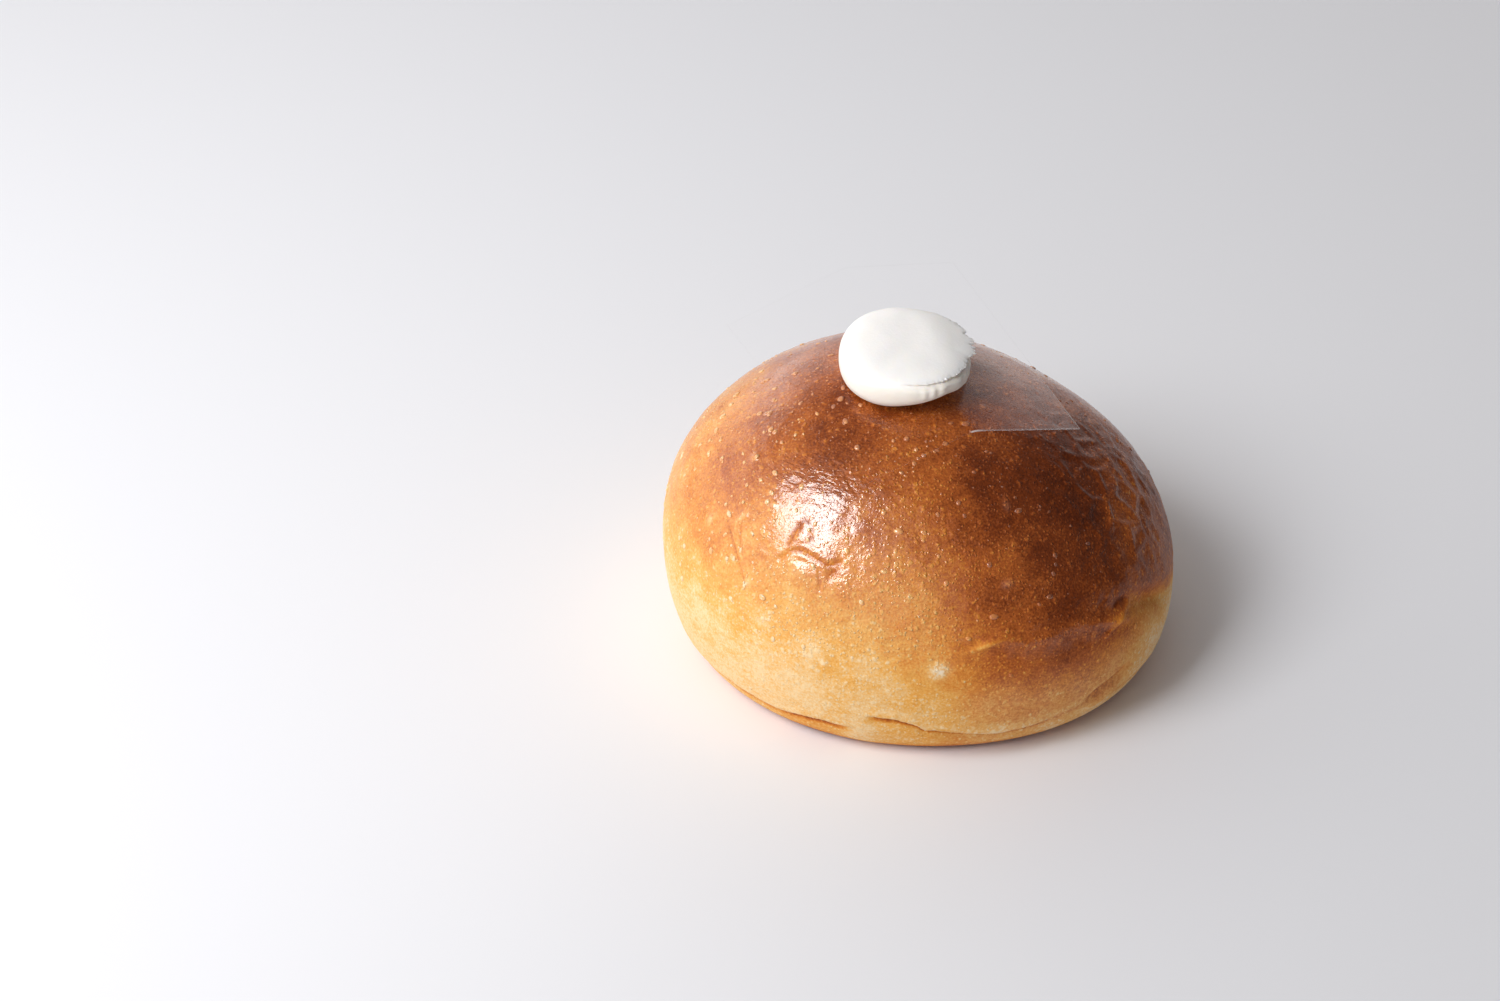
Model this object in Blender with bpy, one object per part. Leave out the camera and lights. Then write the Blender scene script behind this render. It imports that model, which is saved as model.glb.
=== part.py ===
"""Cream bun: a round baked bun, a creased sheet of clear film on its crown and a pressed cap of whipped cream.

All driving dimensions are in millimetres. X runs to the right, Y to the back and Z up, and the bun
stands on Z = 0 with the middle of its outline at the origin.
"""

import math
from dataclasses import dataclass

import bmesh
import bpy
import numpy as np

MM = 0.001
CLEARANCE = 0.35

# Bun: a domed upper half over a rounder lower half with a flat underside
HALF_WIDTH = 46.0
HALF_DEPTH = 43.7
CROWN_HEIGHT = 55.3
GIRTH_HEIGHT = 18.9
UNDERSIDE_SHARE = 0.81
UPPER_FULLNESS = 1.95
LOWER_FULLNESS = 2.13
LEAN_X = -5.9
LEAN_Y = 2.7
BUN_SEGMENTS = 84
BUN_RINGS = 44

# Ball latitudes, as shares of the way from the crown to the underside's middle
GIRTH_AT = 0.6
UNDERSIDE_AT = 0.9

# Fold round the foot of the bun, where the dough was gathered
FOLD_HEIGHT = 7.3
FOLD_WAVE = 1.6
FOLD_DEPTH = 1.0
FOLD_BACK_DEPTH = 0.5
FOLD_WIDTH = 1.3
FOLD_FRONT = -100.0

# Slow unevenness of the crust
LUMP_HEIGHT = 0.35
LUMP_LENGTH = 9.0

# Film: a sheet with one crease, which lies along the ridge of a low tent
FILM_LENGTH = 56.2
FILM_THICKNESS = 0.3
FILM_RIDGE_HEIGHT = 57.5
FILM_CORNER_X = 7.3
FILM_CORNER_Y = -18.8
FILM_DIRECTION = 112.3
FILM_CREASE_RADIUS = 0.9
FILM_ABOVE_CRUST = 0.9
FILM_BLEND = 0.4
FILM_STEPS_ALONG = 16
FILM_STEPS_ACROSS = 16

# Cream: a cap pressed flat on top, draped over the film's ridge
CREAM_X = -4.0
CREAM_Y = 2.1
CREAM_HALF_WIDTH = 11.8
CREAM_HALF_DEPTH = 11.8
CREAM_TOP = 62.6
CREAM_RIDGE_OFFSET = 2.5
CREAM_RIDGE_RADIUS = 2.5
CREAM_SLOPE_LEFT = 0.05
CREAM_SLOPE_RIGHT = 0.14
CREAM_DOME_DROP = 1.1
CREAM_LIP_REACH = 1.1
CREAM_LIP_ANGLE = 2.0
CREAM_LIP_SPREAD = 20.0
CREAM_SEGMENTS = 48
CREAM_RINGS = 24


@dataclass(frozen=True)
class Swell:
    """A slow swelling of a round outline: so many times round, by a share of its radius, towards an angle."""

    times: int
    share: float
    towards: float


@dataclass(frozen=True)
class FilmSide:
    """One half of the film: its width in plan and its slope at the front and at the back."""

    sign: int
    front_width: float
    back_width: float
    front_slope: float
    back_slope: float


@dataclass(frozen=True)
class Mark:
    """A dent (negative lift) or a ridge in the crust, placed by its direction and its height."""

    angle: float
    height: float
    turn: float
    half_length: float
    half_width: float
    lift: float


BUN_SWELLS = (
    Swell(times=1, share=-0.01, towards=34.0),
    Swell(times=2, share=0.033, towards=-24.0),
    Swell(times=3, share=-0.011, towards=36.6),
)

CREAM_SWELLS = (
    Swell(times=2, share=0.03, towards=-56.0),
    Swell(times=3, share=0.02, towards=-60.0),
    Swell(times=5, share=0.01, towards=10.0),
)

FILM_RIGHT = FilmSide(sign=1, front_width=20.9, back_width=22.3, front_slope=0.254, back_slope=0.2)
FILM_LEFT = FilmSide(sign=-1, front_width=22.5, back_width=23.9, front_slope=0.286, back_slope=0.296)

CRUST_MARKS = (
    Mark(angle=-29.0, height=22.0, turn=-28.0, half_length=6.5, half_width=2.6, lift=-1.3),
    Mark(angle=-43.0, height=24.5, turn=-16.0, half_length=5.0, half_width=1.3, lift=0.5),
    Mark(angle=-62.0, height=26.0, turn=-5.0, half_length=12.0, half_width=3.0, lift=0.4),
    Mark(angle=-42.5, height=9.3, turn=2.0, half_length=5.5, half_width=1.6, lift=-0.8),
    Mark(angle=-122.0, height=41.0, turn=15.0, half_length=3.5, half_width=2.2, lift=-0.5),
)


def swelling(swells, angle):
    """The factor by which the swells change a round outline's radius at an angle in radians."""
    factor = np.ones_like(angle)
    for swell in swells:
        factor += swell.share * np.cos(swell.times * (angle - math.radians(swell.towards)))
    return factor


def girth_centre():
    """The middle of the outline's box at the girth, which the origin stands under."""
    angle = np.linspace(-math.pi, math.pi, 721)
    factor = swelling(BUN_SWELLS, angle)
    rise = (GIRTH_HEIGHT / CROWN_HEIGHT) ** 2
    across = HALF_WIDTH * factor * np.cos(angle) + LEAN_X * rise
    along = HALF_DEPTH * factor * np.sin(angle) + LEAN_Y * rise
    return (across.max() + across.min()) / 2, (along.max() + along.min()) / 2


CENTRE_X, CENTRE_Y = girth_centre()


def crust_profile(share):
    """The radius, as a share of the girth's, and the height at a share of the way down the ball."""
    upper = np.clip(share / GIRTH_AT, 0, 1) * math.pi / 2
    lower = np.clip((share - GIRTH_AT) / (UNDERSIDE_AT - GIRTH_AT), 0, 1) * math.pi / 2
    under = np.clip((share - UNDERSIDE_AT) / (1 - UNDERSIDE_AT), 0, 1)
    dome_radius = np.sin(upper) ** (2 / UPPER_FULLNESS)
    dome_height = GIRTH_HEIGHT + (CROWN_HEIGHT - GIRTH_HEIGHT) * np.cos(upper) ** (2 / UPPER_FULLNESS)
    foot_radius = UNDERSIDE_SHARE + (1 - UNDERSIDE_SHARE) * np.cos(lower) ** (2 / LOWER_FULLNESS)
    foot_height = GIRTH_HEIGHT * (1 - np.sin(lower) ** (2 / LOWER_FULLNESS))
    radius = np.where(share <= GIRTH_AT, dome_radius, foot_radius)
    height = np.where(share <= GIRTH_AT, dome_height, foot_height)
    flat = share >= UNDERSIDE_AT
    return np.where(flat, UNDERSIDE_SHARE * (1 - under), radius), np.where(flat, 0.0, height)


def crust_points(angle, share):
    """The smooth crust without its marks, as points in an n by 3 array."""
    radius, height = crust_profile(share)
    radius = radius * swelling(BUN_SWELLS, angle)
    rise = (height / CROWN_HEIGHT) ** 2
    across = HALF_WIDTH * radius * np.cos(angle) + LEAN_X * rise - CENTRE_X
    along = HALF_DEPTH * radius * np.sin(angle) + LEAN_Y * rise - CENTRE_Y
    return np.stack([across, along, height], axis=-1)


def crust_normals(points):
    """The outward directions at points of the crust, taken from the ellipsoids that it follows."""
    height = points[:, 2]
    half_height = np.where(height > GIRTH_HEIGHT, CROWN_HEIGHT - GIRTH_HEIGHT, GIRTH_HEIGHT)
    rise = (height / CROWN_HEIGHT) ** 2
    steepness = 2 * height / CROWN_HEIGHT**2
    across = (points[:, 0] + CENTRE_X - LEAN_X * rise) / HALF_WIDTH**2
    along = (points[:, 1] + CENTRE_Y - LEAN_Y * rise) / HALF_DEPTH**2
    upward = (height - GIRTH_HEIGHT) / half_height**2 - steepness * (LEAN_X * across + LEAN_Y * along)
    normals = np.stack([across, along, upward], axis=-1)
    return normals / np.linalg.norm(normals, axis=1, keepdims=True)


def share_at_height(height):
    """The share of the way down the ball at which the crust has a height above the underside."""
    if height >= GIRTH_HEIGHT:
        rise = ((height - GIRTH_HEIGHT) / (CROWN_HEIGHT - GIRTH_HEIGHT)) ** (UPPER_FULLNESS / 2)
        return GIRTH_AT * math.acos(rise) / (math.pi / 2)
    drop = (1 - height / GIRTH_HEIGHT) ** (LOWER_FULLNESS / 2)
    return GIRTH_AT + (UNDERSIDE_AT - GIRTH_AT) * math.asin(drop) / (math.pi / 2)


def mark_lift(mark, points):
    """How far a mark lifts the crust at each point: a soft oval along its own direction."""
    centre = crust_points(np.array([math.radians(mark.angle)]), np.array([share_at_height(mark.height)]))
    normal = crust_normals(centre)[0]
    level = np.cross((0.0, 0.0, 1.0), normal)
    level /= np.linalg.norm(level)
    upward = np.cross(normal, level)
    turn = math.radians(mark.turn)
    offset = points - centre[0]
    along = offset @ (level * math.cos(turn) + upward * math.sin(turn))
    across = offset @ (upward * math.cos(turn) - level * math.sin(turn))
    away = offset @ normal
    spread = (along / mark.half_length) ** 2 + (across / mark.half_width) ** 2 + (away / mark.half_length) ** 2
    return mark.lift * np.exp(-spread)


def fold_lift(angle, points):
    """How far the fold round the foot sinks into the crust, deeper at the front than at the back."""
    from_front = angle - math.radians(FOLD_FRONT)
    height = FOLD_HEIGHT + FOLD_WAVE * np.cos(3 * from_front)
    facing = (1 + np.cos(from_front)) / 2
    depth = FOLD_BACK_DEPTH + (FOLD_DEPTH - FOLD_BACK_DEPTH) * facing
    return -depth * np.exp(-(((points[:, 2] - height) / FOLD_WIDTH) ** 2))


def lump_lift(points):
    """The slow unevenness that a hand-shaped bun has."""
    turned = points / LUMP_LENGTH
    first = np.sin(turned[:, 0] + 0.6 * turned[:, 2] + 1.0) * np.sin(turned[:, 1] - 0.4 * turned[:, 0] + 2.2)
    second = np.sin(1.7 * turned[:, 2] + 0.9 * turned[:, 1] + 0.5)
    return LUMP_HEIGHT * (0.6 * first + 0.4 * second)


def bun_place(angle, share):
    """Places the ball's points on the crust, with its fold, marks and unevenness above a flat underside."""
    points = crust_points(angle, share)
    lift = fold_lift(angle, points) + lump_lift(points)
    for mark in CRUST_MARKS:
        lift += mark_lift(mark, points)
    above_floor = np.clip(points[:, 2] / 4.0, 0, 1)
    crown_clear = np.clip((CROWN_HEIGHT - points[:, 2]) / 6.0, 0, 1)
    return points + crust_normals(points) * (lift * above_floor * crown_clear)[:, None]


def crown_height(across, along):
    """The height of the smooth crust above points of the plan, found by closing in on its lean."""
    height = np.full_like(across, CROWN_HEIGHT)
    for _ in range(25):
        rise = (height / CROWN_HEIGHT) ** 2
        x = (across + CENTRE_X - LEAN_X * rise) / HALF_WIDTH
        y = (along + CENTRE_Y - LEAN_Y * rise) / HALF_DEPTH
        radius = np.hypot(x, y) / swelling(BUN_SWELLS, np.arctan2(y, x))
        dome = np.clip(1 - np.clip(radius, 0, 1) ** UPPER_FULLNESS, 0, 1) ** (1 / UPPER_FULLNESS)
        height = GIRTH_HEIGHT + (CROWN_HEIGHT - GIRTH_HEIGHT) * dome
    return height


def film_axes():
    """The crease's starting corner, its direction and the direction across it to the right, in plan."""
    direction = math.radians(FILM_DIRECTION)
    corner = np.array([FILM_CORNER_X - CENTRE_X, FILM_CORNER_Y - CENTRE_Y])
    along = np.array([math.cos(direction), math.sin(direction)])
    across = np.array([math.sin(direction), -math.cos(direction)])
    return corner, along, across


def film_height(x, y):
    """The height of the film's middle plane above points of the plan."""
    corner, along, across = film_axes()
    run = ((x - corner[0]) * along[0] + (y - corner[1]) * along[1]) / FILM_LENGTH
    side = (x - corner[0]) * across[0] + (y - corner[1]) * across[1]
    right = FILM_RIGHT.front_slope + (FILM_RIGHT.back_slope - FILM_RIGHT.front_slope) * run
    left = FILM_LEFT.front_slope + (FILM_LEFT.back_slope - FILM_LEFT.front_slope) * run
    slope = np.where(side > 0, right, left)
    tent = FILM_RIDGE_HEIGHT - slope * (np.hypot(side, FILM_CREASE_RADIUS) - FILM_CREASE_RADIUS)
    resting = crown_height(x, y) + FILM_ABOVE_CRUST
    return (tent + resting + np.hypot(tent - resting, FILM_BLEND)) / 2


def film_place(run, across_share):
    """Places points of the flat film, from 0 to 1 along the crease and from -1 to 1 across it."""
    corner, along, across = film_axes()
    width = np.zeros_like(run)
    for side in (FILM_RIGHT, FILM_LEFT):
        reach = side.front_width + (side.back_width - side.front_width) * run
        width = np.where(across_share * side.sign > 0, across_share * reach, width)
    x = corner[0] + along[0] * run * FILM_LENGTH + across[0] * width
    y = corner[1] + along[1] * run * FILM_LENGTH + across[1] * width
    return np.stack([x, y, film_height(x, y)], axis=-1)


def cream_top(x, y):
    """The height of the cream's pressed top, which keeps a soft ridge beside the film's crease."""
    corner, _, across = film_axes()
    side = (x - corner[0]) * across[0] + (y - corner[1]) * across[1] - CREAM_RIDGE_OFFSET
    slope = np.where(side > 0, CREAM_SLOPE_RIGHT, CREAM_SLOPE_LEFT)
    return CREAM_TOP - slope * (np.hypot(side, CREAM_RIDGE_RADIUS) - CREAM_RIDGE_RADIUS)


def cream_place(angle, share):
    """Places the ball's points on the cream: pressed top with a lip, bulging side and hollow seat."""
    stations = np.array([0.0, 0.4, 0.47, 0.53, 0.58, 0.66, 0.74, 0.8, 1.0])
    radii = np.array([0.0, 0.86, 0.955, 0.985, 0.985, 1.0, 0.99, 0.94, 0.0])
    drops = np.array([0.0, 0.0, 0.08, 0.22, 0.36, 0.6, 0.82, 1.0, 1.0])
    from_lip = (np.degrees(angle) - CREAM_LIP_ANGLE) / CREAM_LIP_SPREAD
    lip = np.exp(-(from_lip**2) - ((share - 0.48) / 0.05) ** 2) * CREAM_LIP_REACH / CREAM_HALF_WIDTH
    outline = swelling(CREAM_SWELLS, angle)
    radius = np.interp(share, stations, radii) * outline + lip
    x = CREAM_X - CENTRE_X + CREAM_HALF_WIDTH * radius * np.cos(angle)
    y = CREAM_Y - CENTRE_Y + CREAM_HALF_DEPTH * radius * np.sin(angle)
    seat = film_height(x, y) + FILM_THICKNESS / 2 + CLEARANCE
    top = cream_top(x, y) - CREAM_DOME_DROP * np.clip(radius, 0, 1) ** 4
    drop = np.interp(share, stations, drops)
    return np.stack([x, y, top + (seat - top) * drop], axis=-1)


def material_for(name, colour, roughness, alpha=1.0):
    """A plain Principled material with the piece's own colour."""
    material = bpy.data.materials.new(name)
    material.use_nodes = True
    shader = material.node_tree.nodes["Principled BSDF"]
    shader.inputs["Base Color"].default_value = (*colour, 1.0)
    shader.inputs["Roughness"].default_value = roughness
    shader.inputs["Metallic"].default_value = 0.0
    shader.inputs["Alpha"].default_value = alpha
    return material


def add_object(name, bm, material):
    """Triangulates a bmesh, makes it a smooth object and gives it its material."""
    bmesh.ops.triangulate(bm, faces=bm.faces[:])
    mesh = bpy.data.meshes.new(name)
    bm.to_mesh(mesh)
    bm.free()
    mesh.shade_smooth()
    mesh.materials.append(material)
    piece = bpy.data.objects.new(name, mesh)
    bpy.context.scene.collection.objects.link(piece)
    return piece


def shaped_ball(segments, rings, place):
    """A ball whose points are moved to where the place function puts their angle and latitude."""
    bm = bmesh.new()
    bmesh.ops.create_uvsphere(bm, u_segments=segments, v_segments=rings, radius=1.0)
    start = np.array([vertex.co[:] for vertex in bm.verts])
    angle = np.arctan2(start[:, 1], start[:, 0])
    share = np.arccos(np.clip(start[:, 2], -1, 1)) / math.pi
    for vertex, point in zip(bm.verts, place(angle, share) * MM):
        vertex.co = point
    return bm


def shaped_sheet(steps_along, steps_across, place):
    """A flat grid whose points are moved to where the place function puts them."""
    bm = bmesh.new()
    bmesh.ops.create_grid(bm, x_segments=steps_across, y_segments=steps_along, size=1.0)
    start = np.array([vertex.co[:] for vertex in bm.verts])
    for vertex, point in zip(bm.verts, place((start[:, 1] + 1) / 2, start[:, 0]) * MM):
        vertex.co = point
    return bm


def make_bun():
    """The baked bun, one solid with its fold, dents and ridges."""
    crust = material_for("crust", (0.42, 0.17, 0.055), 0.4)
    return add_object("bun", shaped_ball(BUN_SEGMENTS, BUN_RINGS, bun_place), crust)


def make_film():
    """The creased clear film, thickened evenly to both sides."""
    clear = material_for("film", (0.95, 0.95, 0.96), 0.08, alpha=0.25)
    film = add_object("film", shaped_sheet(FILM_STEPS_ALONG, FILM_STEPS_ACROSS, film_place), clear)
    wall = film.modifiers.new("thickness", "SOLIDIFY")
    wall.thickness = FILM_THICKNESS * MM
    wall.offset = 0.0
    return film


def make_cream():
    """The pressed cap of whipped cream."""
    whipped = material_for("cream", (0.93, 0.89, 0.85), 0.45)
    return add_object("cream", shaped_ball(CREAM_SEGMENTS, CREAM_RINGS, cream_place), whipped)


def main():
    """Clears the scene and makes the three pieces."""
    for old in list(bpy.data.objects):
        bpy.data.objects.remove(old)
    make_bun()
    make_film()
    make_cream()


main()
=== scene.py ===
"""Cream bun, dressed: baked crust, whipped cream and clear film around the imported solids.

Shapes are worked out in millimetres from the same driving sizes as the solids and stored in metres.
X runs to the right, Y to the back and Z up, and the bun stands on Z = 0.
"""

import logging
import math
from dataclasses import dataclass, field
from enum import Enum
from functools import reduce
from typing import Callable, Sequence

import bpy
import numpy as np
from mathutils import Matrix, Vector


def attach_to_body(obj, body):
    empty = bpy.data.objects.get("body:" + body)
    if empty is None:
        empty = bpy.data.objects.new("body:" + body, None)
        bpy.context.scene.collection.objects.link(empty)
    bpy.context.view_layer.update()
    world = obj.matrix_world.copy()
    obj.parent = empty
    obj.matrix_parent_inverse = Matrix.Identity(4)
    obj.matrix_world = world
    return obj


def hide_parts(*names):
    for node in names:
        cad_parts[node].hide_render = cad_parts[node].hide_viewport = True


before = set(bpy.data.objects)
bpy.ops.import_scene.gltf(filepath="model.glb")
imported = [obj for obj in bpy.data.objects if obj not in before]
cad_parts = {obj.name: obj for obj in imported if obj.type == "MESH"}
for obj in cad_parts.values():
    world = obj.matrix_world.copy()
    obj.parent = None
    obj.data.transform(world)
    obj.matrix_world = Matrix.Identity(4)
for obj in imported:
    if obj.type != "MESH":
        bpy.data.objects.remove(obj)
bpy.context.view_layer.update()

MM = 0.001
LOG = logging.getLogger("cream_bun")

LATTICE_FACTORS = (374761393, 668265263, 1274126177)
SEED_FACTOR = 362437
MIXERS = ((15, 2246822519), (13, 3266489917))
LAST_SHIFT = 16
WORD = 0xFFFFFFFF
NOISE_GAIN = 1.6

Triple = tuple[float, float, float]
Colour = Triple
Place = Callable[[np.ndarray, np.ndarray], np.ndarray]


class FilmHalf(Enum):
    """The two halves of the creased film, by their side of the crease."""

    RIGHT = 1
    LEFT = -1


class Piece(Enum):
    """The names of the scene's own pieces."""

    BUN = "baked_bun"
    BLISTERS = "crust_blisters"
    CREAM = "whipped_cream"
    CREAM_CRUMBS = "cream_crumbs"
    FILM = "clear_film"


@dataclass(frozen=True)
class Swell:
    """A slow swelling of a round outline: so many times round, by a share of its radius, towards an angle."""

    times: int
    share: float
    towards: float


@dataclass(frozen=True)
class Mark:
    """A dent (negative lift) or a ridge in the crust, placed by its direction and its height."""

    angle: float
    height: float
    turn: float
    half_length: float
    half_width: float
    lift: float
    bake: float = 0.0
    pale: float = 0.0
    dull: float = 0.0


@dataclass(frozen=True)
class Stroke:
    """A line pressed into the crust or raised on it, through places given by direction and height."""

    places: tuple[tuple[float, float], ...]
    half_width: float
    lift: float
    rim: float = 0.0
    bake: float = 0.0
    dull: float = 0.0


@dataclass(frozen=True)
class SeamPlace:
    """The seam round the foot in one direction: its height, its depth and how much browner and darker the
    layer under it is, from baking and from painted shade.
    """

    angle: float
    height: float
    depth: float
    brown_and_shade: float = 0.0


@dataclass(frozen=True)
class FilmSide:
    """One half of the film: its width in plan and its slope at the front and at the back."""

    front_width: float
    back_width: float
    front_slope: float
    back_slope: float


def swelling(swells: Sequence[Swell], angle: np.ndarray) -> np.ndarray:
    """Work out how the swells change a round outline.

    Args:
        swells: The swells of the outline.
        angle: Directions round the outline, in radians.

    Returns:
        The factor on the radius at each angle.
    """
    factor = np.ones_like(angle)
    for swell in swells:
        factor += swell.share * np.cos(swell.times * (angle - math.radians(swell.towards)))
    return factor


def smooth_step(low: float, high: float, value: np.ndarray) -> np.ndarray:
    """Rise smoothly from 0 at low to 1 at high.

    Args:
        low: The value where the rise starts.
        high: The value where it ends.
        value: The values to map.

    Returns:
        The eased shares.
    """
    share = np.clip((value - low) / (high - low), 0, 1)
    return share * share * (3 - 2 * share)


@dataclass(frozen=True)
class Ease:
    """A smooth change: the values where it starts and ends, and its results before and after."""

    start: float
    end: float
    first: float = 0.0
    last: float = 1.0

    def of(self, value: np.ndarray) -> np.ndarray:
        """Map an array of values."""
        return self.first + (self.last - self.first) * smooth_step(self.start, self.end, value)


def bell(value: np.ndarray, middle: float, half_width: float, power: int = 2) -> np.ndarray:
    """Fade from 1 at the middle to 0 on both sides.

    Args:
        value: The values to map.
        middle: The value where the bell is highest.
        half_width: How far from there it has sunk to about a third.
        power: An even number: the higher, the squarer the bell.

    Returns:
        Shares from 0 to 1.
    """
    return np.exp(-(((value - middle) / half_width) ** power))


def lattice_hash(cells: np.ndarray, seed: int) -> np.ndarray:
    """Turn whole-number lattice places into even random numbers.

    Args:
        cells: An n by 3 array of whole numbers.
        seed: A fixed number that picks the pattern.

    Returns:
        An n by 3 array of numbers from 0 to 1.
    """
    folded = cells.astype(np.int64) @ np.array(LATTICE_FACTORS, np.int64)
    mixed = (folded + np.int64(seed) * SEED_FACTOR) & WORD
    numbers = []
    for _ in range(3):
        for shift, factor in MIXERS:
            mixed = ((mixed ^ (mixed >> shift)) * factor) & WORD
        mixed = mixed ^ (mixed >> LAST_SHIFT)
        numbers.append(mixed / WORD)
    return np.stack(numbers, axis=-1)


def soft_noise(points: np.ndarray, size: float, seed: int) -> np.ndarray:
    """Smooth random waves over space.

    Args:
        points: An n by 3 array of places.
        size: The width of one wave, in the points' unit.
        seed: A fixed number that picks the pattern.

    Returns:
        Values from about -1 to 1.
    """
    scaled = points / size
    cell = np.floor(scaled)
    inner = scaled - cell
    fade = inner * inner * inner * (inner * (inner * 6 - 15) + 10)
    total = np.zeros(len(points))
    for corner in np.ndindex(2, 2, 2):
        step = np.array(corner)
        slope = lattice_hash(cell + step, seed) * 2 - 1
        weight = np.prod(np.where(step == 1, fade, 1 - fade), axis=1)
        total += weight * np.sum(slope * (inner - step), axis=1)
    return total * NOISE_GAIN


def crease_noise(points: np.ndarray, size: float, seed: int) -> np.ndarray:
    """Find how far each point is from the nearest border of a random cell pattern.

    Args:
        points: An n by 3 array of places.
        size: The width of one cell, in the points' unit.
        seed: A fixed number that picks the pattern.

    Returns:
        0 on a border, rising to about 1 in a cell's middle.
    """
    scaled = points / size
    cell = np.floor(scaled)
    nearest = np.full(len(points), np.inf)
    second = np.full(len(points), np.inf)
    for corner in np.ndindex(3, 3, 3):
        neighbour = cell + np.array(corner) - 1
        reach = np.linalg.norm(neighbour + lattice_hash(neighbour, seed) - scaled, axis=1)
        second = np.minimum(second, np.maximum(nearest, reach))
        nearest = np.minimum(nearest, reach)
    return second - nearest


@dataclass(frozen=True)
class Waves:
    """Smooth random waves: height, width, their pattern's seed and how much finer they are on each axis."""

    height: float
    width: float
    seed: int
    stretch: Triple = (1.0, 1.0, 1.0)

    def at(self, points: np.ndarray) -> np.ndarray:
        """Find the waves' value at each point."""
        return self.height * soft_noise(points * np.array(self.stretch), self.width, self.seed)


@dataclass(frozen=True)
class Net:
    """Ridges on the borders of random cells: height, cell width, the pattern's seed and the ridges' share."""

    height: float
    cell: float
    seed: int
    ridge: float

    def at(self, points: np.ndarray) -> np.ndarray:
        """Find the ridges' value at each point."""
        return self.height * bell(crease_noise(points, self.cell, self.seed), 0.0, self.ridge)


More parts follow.
